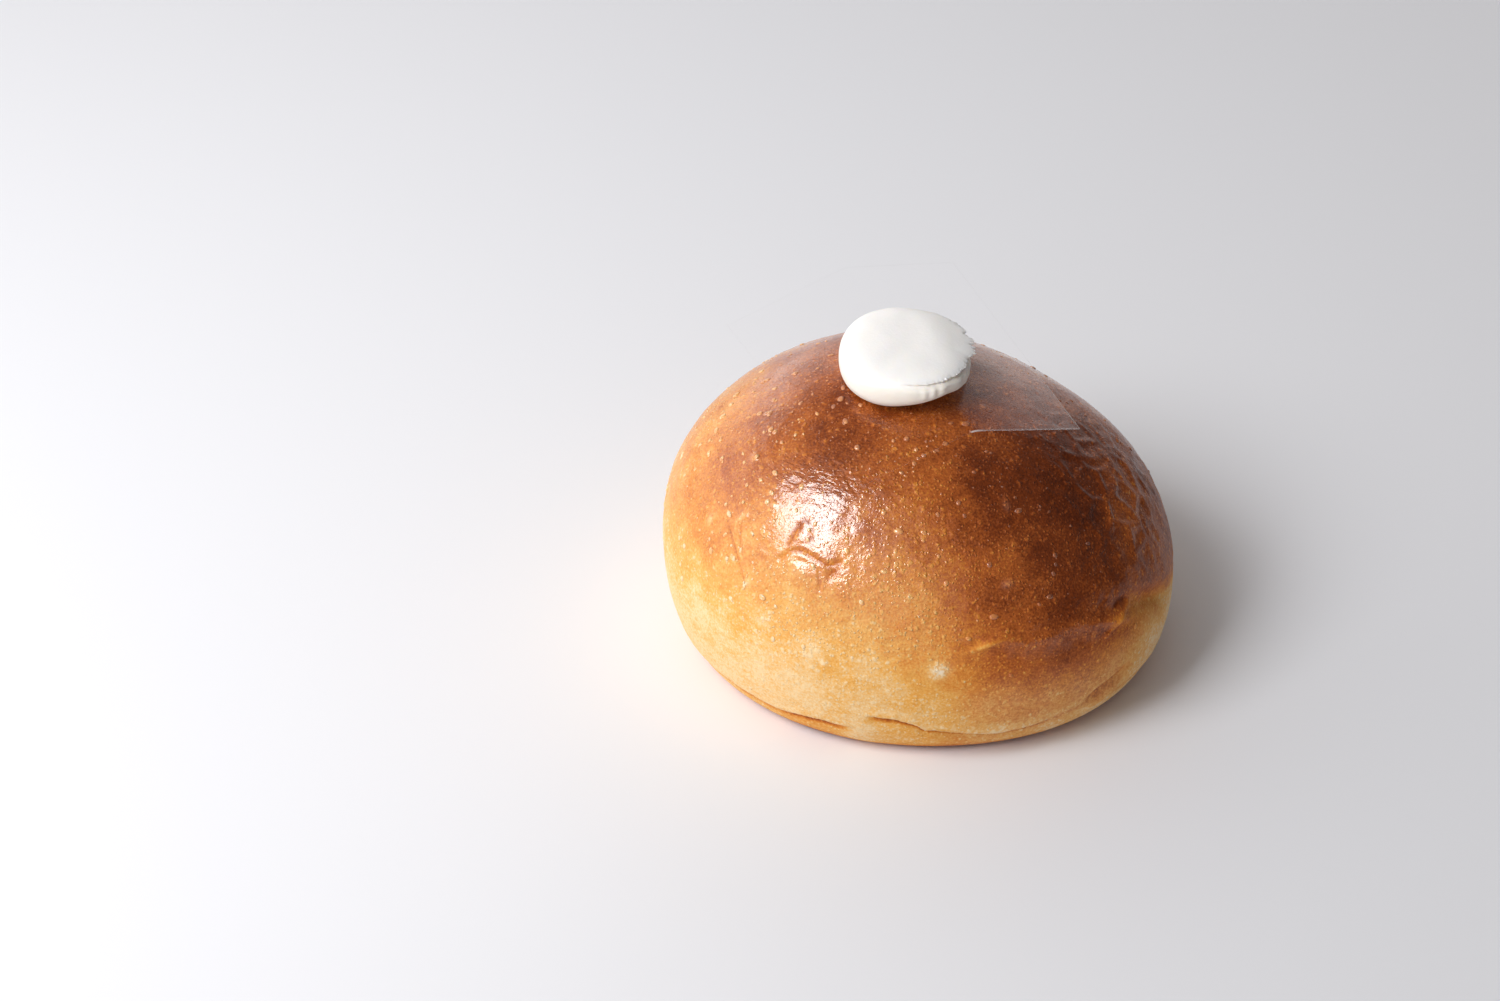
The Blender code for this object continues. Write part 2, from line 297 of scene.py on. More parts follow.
@dataclass(frozen=True)
class CrustShape:
    """The bun's smooth form: a leaning domed upper half over a rounder lower half with a flat underside."""

    half_width: float = 46.0
    half_depth: float = 43.7
    crown_height: float = 55.3
    girth_height: float = 18.9
    underside_share: float = 0.81
    upper_fullness: float = 1.95
    lower_fullness: float = 2.13
    lean_x: float = -5.9
    lean_y: float = 2.7
    girth_at: float = 0.6
    underside_at: float = 0.9
    outline_steps: int = 721
    closing_steps: int = 25
    swells: tuple[Swell, ...] = (Swell(1, -0.01, 34.0), Swell(2, 0.033, -24.0), Swell(3, -0.011, 36.6))

    def centre(self) -> tuple[float, float]:
        """Find the middle of the outline's box at the girth.

        Returns:
            Its x and y before the bun is centred on the origin.
        """
        angle = np.linspace(-math.pi, math.pi, self.outline_steps)
        factor = swelling(self.swells, angle)
        rise = (self.girth_height / self.crown_height) ** 2
        across = self.half_width * factor * np.cos(angle) + self.lean_x * rise
        along = self.half_depth * factor * np.sin(angle) + self.lean_y * rise
        return (across.max() + across.min()) / 2, (along.max() + along.min()) / 2

    def profile(self, share: np.ndarray) -> tuple[np.ndarray, np.ndarray]:
        """Follow the profile down from the crown to the middle of the underside.

        Args:
            share: Shares of the way down, from 0 to 1.

        Returns:
            The radius, as a share of the girth's, and the height.
        """
        upper = np.clip(share / self.girth_at, 0, 1) * math.pi / 2
        lower = np.clip((share - self.girth_at) / (self.underside_at - self.girth_at), 0, 1) * math.pi / 2
        under = np.clip((share - self.underside_at) / (1 - self.underside_at), 0, 1)
        dome = self.crown_height - self.girth_height
        dome_radius = np.sin(upper) ** (2 / self.upper_fullness)
        dome_height = self.girth_height + dome * np.cos(upper) ** (2 / self.upper_fullness)
        undercut = 1 - self.underside_share
        foot_radius = self.underside_share + undercut * np.cos(lower) ** (2 / self.lower_fullness)
        foot_height = self.girth_height * (1 - np.sin(lower) ** (2 / self.lower_fullness))
        radius = np.where(share <= self.girth_at, dome_radius, foot_radius)
        height = np.where(share <= self.girth_at, dome_height, foot_height)
        flat = share >= self.underside_at
        return np.where(flat, self.underside_share * (1 - under), radius), np.where(flat, 0.0, height)

    def points(self, angle: np.ndarray, share: np.ndarray) -> np.ndarray:
        """Place points on the smooth crust.

        Args:
            angle: Directions round the bun, in radians.
            share: Shares of the way down the profile.

        Returns:
            An n by 3 array, in millimetres.
        """
        radius, height = self.profile(share)
        radius = radius * swelling(self.swells, angle)
        rise = (height / self.crown_height) ** 2
        middle_x, middle_y = self.centre()
        across = self.half_width * radius * np.cos(angle) + self.lean_x * rise - middle_x
        along = self.half_depth * radius * np.sin(angle) + self.lean_y * rise - middle_y
        return np.stack([across, along, height], axis=-1)

    def normals(self, points: np.ndarray) -> np.ndarray:
        """Work out the outward directions at points of the crust.

        Args:
            points: An n by 3 array on the crust, in millimetres.

        Returns:
            Unit vectors, taken from the ellipsoids that the crust follows.
        """
        height = points[:, 2]
        middle_x, middle_y = self.centre()
        dome = self.crown_height - self.girth_height
        half_height = np.where(height > self.girth_height, dome, self.girth_height)
        rise = (height / self.crown_height) ** 2
        steepness = 2 * height / self.crown_height**2
        across = (points[:, 0] + middle_x - self.lean_x * rise) / self.half_width**2
        along = (points[:, 1] + middle_y - self.lean_y * rise) / self.half_depth**2
        tilt = steepness * (self.lean_x * across + self.lean_y * along)
        upward = (height - self.girth_height) / half_height**2 - tilt
        normals = np.stack([across, along, upward], axis=-1)
        return normals / np.linalg.norm(normals, axis=1, keepdims=True)

    def share_at_height(self, height: float) -> float:
        """Find the share of the way down the profile at which the crust has a height.

        Args:
            height: The height above the underside, in millimetres.

        Returns:
            The share, from 0 at the crown.
        """
        if height >= self.girth_height:
            rise = (height - self.girth_height) / (self.crown_height - self.girth_height)
            return self.girth_at * math.acos(rise ** (self.upper_fullness / 2)) / (math.pi / 2)
        drop = (1 - height / self.girth_height) ** (self.lower_fullness / 2)
        return self.girth_at + (self.underside_at - self.girth_at) * math.asin(drop) / (math.pi / 2)

    def spot(self, angle: float, height: float) -> tuple[np.ndarray, np.ndarray, np.ndarray, np.ndarray]:
        """Find a place on the crust and its own directions.

        Args:
            angle: The direction round the bun, in degrees.
            height: The height above the underside, in millimetres.

        Returns:
            The place, its outward normal, its level direction and its upward direction.
        """
        place = self.points(np.array([math.radians(angle)]), np.array([self.share_at_height(height)]))
        normal = self.normals(place)[0]
        level = np.cross((0.0, 0.0, 1.0), normal)
        level /= np.linalg.norm(level)
        return place[0], normal, level, np.cross(normal, level)

    def height_over(self, across: np.ndarray, along: np.ndarray) -> np.ndarray:
        """Find the crown's height above places of the plan by closing in on its lean.

        Args:
            across: The x of each place.
            along: The y of each place.

        Returns:
            The heights, in millimetres.
        """
        middle_x, middle_y = self.centre()
        height = np.full_like(across, self.crown_height)
        for _ in range(self.closing_steps):
            rise = (height / self.crown_height) ** 2
            x = (across + middle_x - self.lean_x * rise) / self.half_width
            y = (along + middle_y - self.lean_y * rise) / self.half_depth
            radius = np.hypot(x, y) / swelling(self.swells, np.arctan2(y, x))
            dome = np.clip(1 - np.clip(radius, 0, 1) ** self.upper_fullness, 0, 1)
            dome = dome ** (1 / self.upper_fullness)
            height = self.girth_height + (self.crown_height - self.girth_height) * dome
        return height


@dataclass(frozen=True)
class FilmShape:
    """The creased film: a low tent whose ridge clears the crown, and which rests on the crust beside it."""

    crust: CrustShape
    length: float = 56.2
    ridge_height: float = 57.5
    corner_x: float = 7.3
    corner_y: float = -18.8
    direction: float = 112.3
    crease_radius: float = 0.9
    above_crust: float = 0.9
    blend: float = 0.4
    right: FilmSide = FilmSide(20.9, 22.3, 0.254, 0.2)
    left: FilmSide = FilmSide(22.5, 23.9, 0.286, 0.296)

    def side_of(self, half: FilmHalf) -> FilmSide:
        """Pick one half's sizes."""
        return self.right if half is FilmHalf.RIGHT else self.left

    def axes(self) -> tuple[np.ndarray, np.ndarray, np.ndarray]:
        """Find the crease's front corner, its direction and the direction across it, in plan.

        Returns:
            The corner and the two directions, each as an x and a y.
        """
        middle_x, middle_y = self.crust.centre()
        turn = math.radians(self.direction)
        corner = np.array([self.corner_x - middle_x, self.corner_y - middle_y])
        along = np.array([math.cos(turn), math.sin(turn)])
        return corner, along, np.array([math.sin(turn), -math.cos(turn)])

    def beside_crease(self, x: np.ndarray, y: np.ndarray) -> tuple[np.ndarray, np.ndarray]:
        """Give places of the plan as runs along the crease, from 0 to 1, and distances to its right.

        Args:
            x: The x of each place.
            y: The y of each place.

        Returns:
            The runs and the distances in millimetres.
        """
        corner, along, across = self.axes()
        run = ((x - corner[0]) * along[0] + (y - corner[1]) * along[1]) / self.length
        return run, (x - corner[0]) * across[0] + (y - corner[1]) * across[1]

    def height(self, x: np.ndarray, y: np.ndarray) -> np.ndarray:
        """Find the height of the film's middle plane over places of the plan.

        Args:
            x: The x of each place.
            y: The y of each place.

        Returns:
            The heights, in millimetres.
        """
        run, side = self.beside_crease(x, y)
        right = self.right.front_slope + (self.right.back_slope - self.right.front_slope) * run
        left = self.left.front_slope + (self.left.back_slope - self.left.front_slope) * run
        fall = np.where(side > 0, right, left) * (np.hypot(side, self.crease_radius) - self.crease_radius)
        tent = self.ridge_height - fall
        resting = self.crust.height_over(x, y) + self.above_crust
        return (tent + resting + np.hypot(tent - resting, self.blend)) / 2

    def place(self, run: np.ndarray, across_share: np.ndarray) -> np.ndarray:
        """Place points of the flat film.

        Args:
            run: Shares of the way along the crease.
            across_share: Shares of the way across, from -1 at the left edge to 1 at the right.

        Returns:
            An n by 3 array, in millimetres.
        """
        corner, along, across = self.axes()
        width = np.zeros_like(run)
        for half in FilmHalf:
            side = self.side_of(half)
            reach = side.front_width + (side.back_width - side.front_width) * run
            width = np.where(across_share * half.value > 0, across_share * reach, width)
        x = corner[0] + along[0] * run * self.length + across[0] * width
        y = corner[1] + along[1] * run * self.length + across[1] * width
        return np.stack([x, y, self.height(x, y)], axis=-1)


class Wiring:
    """What every node tree under construction can do: add nodes, feed them and combine values."""

    tree: bpy.types.NodeTree

    def feed(self, node: bpy.types.Node, socket: str | int, value: object) -> None:
        """Give an input a constant, or link a socket to it.

        Args:
            node: The node that has the input.
            socket: The input's name or number.
            value: A constant or a socket.
        """
        if isinstance(value, bpy.types.NodeSocket):
            self.tree.links.new(value, node.inputs[socket])
        else:
            node.inputs[socket].default_value = value

    def add(self, kind: str, inputs: dict[str | int, object] | None = None,
            **values: object) -> bpy.types.Node:
        """Add a node, set its properties and feed its inputs.

        Args:
            kind: The node's type name.
            inputs: The constant or the socket for each input, by name or number.
            values: Property values by name.

        Returns:
            The new node.
        """
        node = self.tree.nodes.new(kind)
        for name, value in values.items():
            setattr(node, name, value)
        for socket, value in (inputs or {}).items():
            self.feed(node, socket, value)
        return node

    def math(self, operation: str, first: object, second: object = 0.0,
             clamp: bool = False) -> bpy.types.NodeSocket:
        """Combine two values.

        Args:
            operation: The Math node's operation.
            first: A socket or a number.
            second: A socket or a number.
            clamp: Keeps the result between 0 and 1.

        Returns:
            The result's socket.
        """
        node = self.add("ShaderNodeMath", {0: first, 1: second}, operation=operation, use_clamp=clamp)
        return node.outputs[0]

    def total(self, *values: object) -> bpy.types.NodeSocket:
        """Add values up."""
        return reduce(lambda first, second: self.math("ADD", first, second), values)

    def product(self, *values: object) -> bpy.types.NodeSocket:
        """Multiply values."""
        return reduce(lambda first, second: self.math("MULTIPLY", first, second), values)

    def spread(self, value: object, ease: Ease) -> bpy.types.NodeSocket:
        """Map a value smoothly from one range to another.

        Args:
            value: A socket or a number.
            ease: The two ranges.

        Returns:
            The result's socket.
        """
        ends = {"From Min": ease.start, "From Max": ease.end, "To Min": ease.first, "To Max": ease.last}
        node = self.add("ShaderNodeMapRange", {"Value": value, **ends}, interpolation_type="SMOOTHSTEP")
        return node.outputs["Result"]


@dataclass
class Tree(Wiring):
    """A Geometry Nodes tree under construction, with named inputs and one geometry in and out."""

    name: str
    tree: bpy.types.NodeTree = field(init=False)
    entry: bpy.types.Node = field(init=False)

    def __post_init__(self) -> None:
        """Make the empty tree."""
        self.tree = bpy.data.node_groups.new(self.name, "GeometryNodeTree")
        for way in ("INPUT", "OUTPUT"):
            self.tree.interface.new_socket("Geometry", in_out=way, socket_type="NodeSocketGeometry")
        self.entry = self.add("NodeGroupInput")

    def number(self, name: str, kind: str, value: object) -> bpy.types.NodeSocket:
        """Add a named input.

        Args:
            name: The input's name.
            kind: Its socket type.
            value: Its default value.

        Returns:
            The socket that carries it inside the tree.
        """
        socket = self.tree.interface.new_socket(name, in_out="INPUT", socket_type=kind)
        socket.default_value = value
        return self.entry.outputs[name]

    def draw(self, low: float, high: float, seed: bpy.types.NodeSocket | None = None) -> bpy.types.NodeSocket:
        """Draw a random number for each point.

        Args:
            low: The least it can be.
            high: The most it can be.
            seed: A socket that picks the draw, if it has its own.

        Returns:
            The number's socket.
        """
        node = self.add("FunctionNodeRandomValue", {2: low, 3: high}, data_type="FLOAT")
        if seed:
            self.feed(node, "Seed", seed)
        return node.outputs[1]

    def finish_with(self, geometry: bpy.types.NodeSocket, material: bpy.types.Material | None) -> None:
        """End the tree in Realize Instances and Set Material.

        Args:
            geometry: The socket that carries the finished geometry.
            material: Its material, if it gets one.
        """
        realise = self.add("GeometryNodeRealizeInstances", {"Geometry": geometry})
        inputs = {"Geometry": realise.outputs["Geometry"], "Material": material}
        dress = self.add("GeometryNodeSetMaterial", inputs)
        self.add("NodeGroupOutput", {"Geometry": dress.outputs["Geometry"]})

    def result_on(self, carrier: bpy.types.Object, name: str, values: dict[str, object]) -> bpy.types.Object:
        """Run the tree on an object and keep its result as a plain mesh.

        Args:
            carrier: The object that the tree reads.
            name: The new object's name.
            values: Values of the named inputs.

        Returns:
            The new object, at the origin. The carrier is left without the modifier.
        """
        modifier = carrier.modifiers.new(self.name, "NODES")
        modifier.node_group = self.tree
        for item in self.tree.interface.items_tree:
            if item.item_type == "SOCKET" and item.in_out == "INPUT" and item.name in values:
                modifier[item.identifier] = values[item.name]
        bpy.context.view_layer.update()
        evaluated = carrier.evaluated_get(bpy.context.evaluated_depsgraph_get())
        mesh = bpy.data.meshes.new_from_object(evaluated)
        carrier.modifiers.remove(modifier)
        mesh.name = name
        made = bpy.data.objects.new(name, mesh)
        bpy.context.scene.collection.objects.link(made)
        return made


def mesh_object(name: str, points: np.ndarray, faces: Sequence[Sequence[int]]) -> bpy.types.Object:
    """Make an object of points in millimetres.

    Args:
        name: The object's name.
        points: An n by 3 array.
        faces: Corner numbers of each face.

    Returns:
        The linked object, shaded smooth.
    """
    mesh = bpy.data.meshes.new(name)
    mesh.from_pydata((points * MM).tolist(), [], faces)
    mesh.shade_smooth()
    made = bpy.data.objects.new(name, mesh)
    bpy.context.scene.collection.objects.link(made)
    return made


def positions(piece: bpy.types.Object) -> np.ndarray:
    """Read a mesh's points in millimetres.

    Args:
        piece: The object that has the mesh.

    Returns:
        An n by 3 array.
    """
    flat = np.empty(len(piece.data.vertices) * 3, np.float32)
    piece.data.vertices.foreach_get("co", flat)
    return flat.reshape(-1, 3).astype(float) / MM


def set_positions(piece: bpy.types.Object, points: np.ndarray) -> None:
    """Write a mesh's points, given in millimetres."""
    piece.data.vertices.foreach_set("co", (points * MM).astype(np.float32).ravel())
    piece.data.update()


def set_values(piece: bpy.types.Object, name: str, values: np.ndarray) -> None:
    """Store one number for each point as a named attribute."""
    attribute = piece.data.attributes.new(name, "FLOAT", "POINT")
    attribute.data.foreach_set("value", values.astype(np.float32))


def polar_object(name: str, segments: int, shares: np.ndarray, place: Place) -> bpy.types.Object:
    """Make a closed ball-like mesh of rings between two poles.

    Args:
        name: The object's name.
        segments: Points in each ring.
        shares: Each ring's share of the way down, between 0 and 1.
        place: Gives the points of angles and shares, in millimetres.

    Returns:
        The new object.
    """
    angle = np.linspace(-math.pi, math.pi, segments, endpoint=False)
    ring_share, ring_angle = np.meshgrid(shares, angle, indexing="ij")
    ends = place(np.zeros(2), np.array([0.0, 1.0]))
    rings = place(ring_angle.ravel(), ring_share.ravel())
    top, bottom = len(rings), len(rings) + 1
    after = [(i + 1) % segments for i in range(segments)]
    faces = [(top, i, after[i]) for i in range(segments)]
    for row in range(len(shares) - 1):
        start, below = row * segments, (row + 1) * segments
        faces += [(start + i, below + i, below + after[i], start + after[i]) for i in range(segments)]
    last = (len(shares) - 1) * segments
    faces += [(last + i, bottom, last + after[i]) for i in range(segments)]
    return mesh_object(name, np.vstack([rings, ends]), faces)


@dataclass
class Shader(Wiring):
    """A material under construction, around one Principled BSDF."""

    name: str
    material: bpy.types.Material = field(init=False)
    tree: bpy.types.NodeTree = field(init=False)
    principled: bpy.types.Node = field(init=False)

    def __post_init__(self) -> None:
        """Make the material with its Principled BSDF."""
        self.material = bpy.data.materials.new(self.name)
        self.material.use_nodes = True
        self.tree = self.material.node_tree
        self.principled = self.tree.nodes["Principled BSDF"]

    def settle(self, **values: object) -> None:
        """Feed inputs of the Principled BSDF, with spaces written as underscores."""
        for name, value in values.items():
            self.feed(self.principled, name.replace("_", " "), value)

    def group(self, tree: bpy.types.NodeTree, **values: object) -> bpy.types.Node:
        """Place a shader node group with its own input values."""
        return self.add("ShaderNodeGroup", values, node_tree=tree)

    def attribute(self, name: str) -> bpy.types.NodeSocket:
        """Read one of the piece's attributes."""
        return self.add("ShaderNodeAttribute", attribute_name=name).outputs["Fac"]

    def bump(self, height: bpy.types.NodeSocket, depth: float) -> bpy.types.NodeSocket:
        """Turn a height into a normal, for relief of a depth in metres."""
        return self.add("ShaderNodeBump", {"Height": height, "Distance": depth}).outputs["Normal"]


@dataclass(frozen=True)
class Grain:
    """Noise on Object coordinates: waves for each metre, octaves and how much finer it is along each axis."""

    scale: float
    detail: float
    stretch: Triple = (1.0, 1.0, 1.0)


@dataclass
class GroupMaker(Wiring):
    """A shader node group under construction, with named inputs and outputs."""

    name: str
    inputs: dict[str, float]
    outputs: dict[str, str]
    tree: bpy.types.NodeTree = field(init=False)
    entry: bpy.types.Node = field(init=False)
    exit: bpy.types.Node = field(init=False)

    def __post_init__(self) -> None:
        """Make the empty group with its sockets."""
        self.tree = bpy.data.node_groups.new(self.name, "ShaderNodeTree")
        for name, value in self.inputs.items():
            socket = self.tree.interface.new_socket(name, in_out="INPUT", socket_type="NodeSocketFloat")
            socket.default_value = value
        for name, kind in self.outputs.items():
            self.tree.interface.new_socket(name, in_out="OUTPUT", socket_type=kind)
        self.entry = self.add("NodeGroupInput")
        self.exit = self.add("NodeGroupOutput")

    def given(self, name: str) -> bpy.types.NodeSocket:
        """Find the socket that carries one of the group's inputs."""
        return self.entry.outputs[name]

    def give(self, name: str, value: bpy.types.NodeSocket) -> None:
        """Link a value to one of the group's outputs."""
        self.feed(self.exit, name, value)

    def noise(self, grain: Grain) -> bpy.types.NodeSocket:
        """Read noise on Object coordinates, from 0 to 1.

        Args:
            grain: The noise to read.

        Returns:
            The noise's socket.
        """
        place = self.add("ShaderNodeTexCoord").outputs["Object"]
        mapping = self.add("ShaderNodeMapping", {"Vector": place, "Scale": grain.stretch})
        inputs = {"Vector": mapping.outputs["Vector"], "Scale": grain.scale, "Detail": grain.detail}
        return self.add("ShaderNodeTexNoise", inputs).outputs["Fac"]

    def swing(self, grain: Grain) -> bpy.types.NodeSocket:
        """Read noise that swings about 0."""
        return self.math("SUBTRACT", self.noise(grain), 0.5)


def grain_group(coarse: Grain = Grain(420.0, 3.0), fine: Grain = Grain(1900.0, 2.0)) -> bpy.types.NodeTree:
    """Build the fine grain that crust and cream share.

    Args:
        coarse: The noise that the group's Coarse input weighs.
        fine: The noise that its Fine input weighs.

    Returns:
        A group that puts out a Height from both.
    """
    maker = GroupMaker("fine_grain", {"Coarse": 0.5, "Fine": 0.5}, {"Height": "NodeSocketFloat"})
    weighed = [maker.product(maker.noise(grain), maker.given(name)) for name, grain in
               (("Coarse", coarse), ("Fine", fine))]
    maker.give("Height", maker.total(*weighed))
    return maker.tree


@dataclass(frozen=True)
class BakeStop:
    """A colour of the crust at a degree of baking."""

    bake: float
    colour: Colour


@dataclass(frozen=True)
class CrustFinish:
    """How the crust goes from pale and floury to dark and glazed."""

    stops: tuple[BakeStop, ...] = (
        BakeStop(0.0, (0.87, 0.63, 0.34)),
        BakeStop(0.2, (0.82, 0.425, 0.10)),
        BakeStop(0.4, (0.70, 0.245, 0.034)),
        BakeStop(0.6, (0.45, 0.112, 0.019)),
        BakeStop(0.8, (0.20, 0.038, 0.005)),
        BakeStop(1.0, (0.085, 0.013, 0.001)),
    )
    mottle: float = 0.3
    broad: Grain = Grain(190.0, 4.0)
    streaks: Grain = Grain(520.0, 3.0, (0.7, 0.7, 1.6))
    streak_share: float = 0.6
    specks: Grain = Grain(2400.0, 3.0)
    speck_share: float = 1.5
    pebble_layers: tuple[tuple[float, float], ...] = ((820.0, 0.75), (1700.0, 0.9))
    pebble_sway: float = 0.9
    pebble_choice: Ease = Ease(0.35, 1.0, 0.1, 1.0)
    pebble_form: Ease = Ease(0.12, 0.5, 1.0, 0.0)
    pebble_paleness: float = 0.24
    powder: Grain = Grain(1300.0, 3.0)
    powdering: Ease = Ease(0.4, 0.62, 0.3, 1.4)
    # Painted shade: a dark band on the crust just under the seam's lip.
    lip_shade_fade: Ease = Ease(-2.3, -1.1, 0.0, 0.6)
    lip_shade_top: Ease = Ease(-0.05, 0.05, 1.0, 0.0)
    flour: Colour = (0.95, 0.87, 0.76)
    flour_share: float = 0.6
    flour_patches: Ease = Ease(0.24, 0.5, 0.0, 0.55)
    roughness: Ease = Ease(0.0, 1.0, 0.62, 0.34)
    rough_specks: float = 0.2
    glaze_patches: tuple[tuple[Grain, Ease], ...] = (
        (Grain(300.0, 3.0), Ease(0.32, 0.5, 0.8, 1.0)),
        (Grain(2700.0, 2.0), Ease(0.33, 0.46, 0.3, 1.0)),
    )
    glaze_roughness: float = 0.15
    glaze_index: float = 1.9
    index: float = 1.45
    specular_level: float = 0.18
    reflected: Colour = (1.0, 0.68, 0.6)
    relief: float = 0.00031
    glaze_relief: float = 0.00007
    relief_shares: Triple = (0.7, 0.55, 0.3)
    relief_under_glaze: Ease = Ease(0.0, 0.6, 0.4, 1.0)
    crinkles: Grain = Grain(230.0, 4.0, (0.8, 0.8, 3.4))
    crinkle_line: Ease = Ease(0.0, 0.09, -0.45, 0.0)
    grain_weights: tuple[float, float] = (0.5, 0.12)

    def bake_group(self) -> bpy.types.NodeTree:
        """Build the group that turns a degree of baking, with painted shade added in places, into colour,
        roughness, glaze and relief.

        Returns:
            The node group.
        """
        floats = dict.fromkeys(("Roughness", "Glaze", "Height"), "NodeSocketFloat")
        inputs = {"Bake": 0.5, "Glazing": 1.0, "Paleness": 0.0, "Crinkle": 0.0, "Over": 1.0, "LipShade": 0.0}
        maker = GroupMaker("baked_crust", inputs, {"Colour": "NodeSocketColor", **floats})
        streaks, specks = maker.swing(self.streaks), maker.swing(self.specks)
        layers = [maker.product(self.pebbles(maker, scale), share) for scale, share in self.pebble_layers]
        pebbles = maker.total(*layers)
        maker.give("Colour", self.colour(maker, streaks, specks, pebbles))
        glazing = maker.given("Glazing")
        uneven = maker.product(specks, self.rough_specks)
        maker.give("Roughness", maker.math("ADD", maker.spread(glazing, self.roughness), uneven, clamp=True))
        masks = (maker.spread(maker.noise(grain), ease) for grain, ease in self.glaze_patches)
        patches = maker.product(*masks)
        maker.give("Glaze", maker.math("MULTIPLY", glazing, patches, clamp=True))
        shares = zip((streaks, pebbles, specks), self.relief_shares)
        relief = maker.total(*(maker.product(part, share) for part, share in shares))
        relief = maker.product(relief, maker.spread(glazing, self.relief_under_glaze))
        drawn = maker.math("ABSOLUTE", maker.swing(self.crinkles))
        crinkles = maker.product(maker.spread(drawn, self.crinkle_line), maker.given("Crinkle"))
        maker.give("Height", maker.total(relief, crinkles))
        return maker.tree

    def colour(self, maker: GroupMaker, streaks: bpy.types.NodeSocket, specks: bpy.types.NodeSocket,
               pebbles: bpy.types.NodeSocket) -> bpy.types.NodeSocket:
        """Colour the crust by its baking, with painted shade in a dark band under the seam's lip and flour
        where it is pale.

        Args:
            maker: The bake group.
            streaks: Noise drawn out along the skin.
            specks: The finest noise.
            pebbles: The pebbles' mask.

        Returns:
            The colour's socket.
        """
        uneven = maker.total(
            maker.product(maker.swing(self.broad), self.mottle),
            maker.product(streaks, self.mottle * self.streak_share),
            maker.product(specks, self.mottle * self.speck_share),
            maker.product(pebbles, -self.pebble_paleness),
        )
        over = maker.given("Over")
        # Painted shade under the seam's lip, as strong as the seam is deep.
        under_lip = maker.spread(over, self.lip_shade_fade)
        lip_shade = maker.product(under_lip, maker.given("LipShade"), maker.spread(over, self.lip_shade_top))
        powder = maker.spread(maker.noise(self.powder), self.powdering)
        paleness = maker.product(maker.given("Paleness"), powder)
        level = maker.math("SUBTRACT", maker.total(maker.given("Bake"), uneven, lip_shade), paleness, clamp=True)
        ramp = maker.add("ShaderNodeValToRGB", {"Fac": level})
        elements = ramp.color_ramp.elements
        for index, stop in enumerate(self.stops):
            element = elements[index] if index < len(elements) else elements.new(stop.bake)
            element.position = stop.bake
            element.color = (*stop.colour, 1.0)
        even = maker.product(maker.given("Paleness"), self.flour_share)
        floury = maker.math("ADD", maker.spread(paleness, self.flour_patches), even, clamp=True)
        ends = {"Factor": floury, "A": ramp.outputs["Color"], "B": (*self.flour, 1.0)}
        return maker.add("ShaderNodeMix", ends, data_type="RGBA").outputs["Result"]

    def pebbles(self, maker: GroupMaker, scale: float) -> bpy.types.NodeSocket:
        """Cover the skin with small uneven pebbles, each as strong as chance has it.

        Args:
            maker: The group to add them to.
            scale: Pebbles for each metre.

        Returns:
            The pebbles' mask, high in a pebble's middle.
        """
        place = maker.add("ShaderNodeTexCoord").outputs["Object"]
        sway = maker.add("ShaderNodeTexNoise", {"Vector": place, "Scale": scale * self.pebble_sway})
        bend = {0: sway.outputs["Color"], 1: (self.pebble_sway / scale,) * 3, 2: place}
        bent = maker.add("ShaderNodeVectorMath", bend, operation="MULTIPLY_ADD").outputs["Vector"]
        inputs = {"Vector": bent, "Scale": scale}
        cells = maker.add("ShaderNodeTexVoronoi", inputs, voronoi_dimensions="3D", feature="F1")
        pick = maker.add("ShaderNodeSeparateColor", {"Color": cells.outputs["Color"]})
        chosen = maker.spread(pick.outputs["Red"], self.pebble_choice)
        return maker.product(chosen, maker.spread(cells.outputs["Distance"], self.pebble_form))

    def material(self, name: str, grain: bpy.types.NodeTree, group: bpy.types.NodeTree) -> bpy.types.Material:
        """Make the crust's material.

        Args:
            name: The material's name.
            grain: The shared grain group.
            group: The bake group.

        Returns:
            The material, which reads the piece's own attributes, one for each input of the bake group.
        """
        shader = Shader(name)
        named = {"Bake": "bake", "Paleness": "pale", "Glazing": "glaze", "Crinkle": "crinkle", "Over": "over",
                 "LipShade": "lip_shade"}
        baked = shader.group(group, **{socket: shader.attribute(own) for socket, own in named.items()})
        coarse, fine = self.grain_weights
        grainy = shader.group(grain, Coarse=coarse, Fine=fine)
        height = shader.total(baked.outputs["Height"], grainy.outputs["Height"])
        shader.settle(
            Base_Color=baked.outputs["Colour"],
            Roughness=baked.outputs["Roughness"],
            Normal=shader.bump(height, self.relief),
            Coat_Weight=baked.outputs["Glaze"],
            Coat_Normal=shader.bump(height, self.glaze_relief),
            Coat_Roughness=self.glaze_roughness,
            Coat_IOR=self.glaze_index,
            IOR=self.index,
            Specular_IOR_Level=self.specular_level,
            Specular_Tint=(*self.reflected, 1.0),
        )
        return shader.material


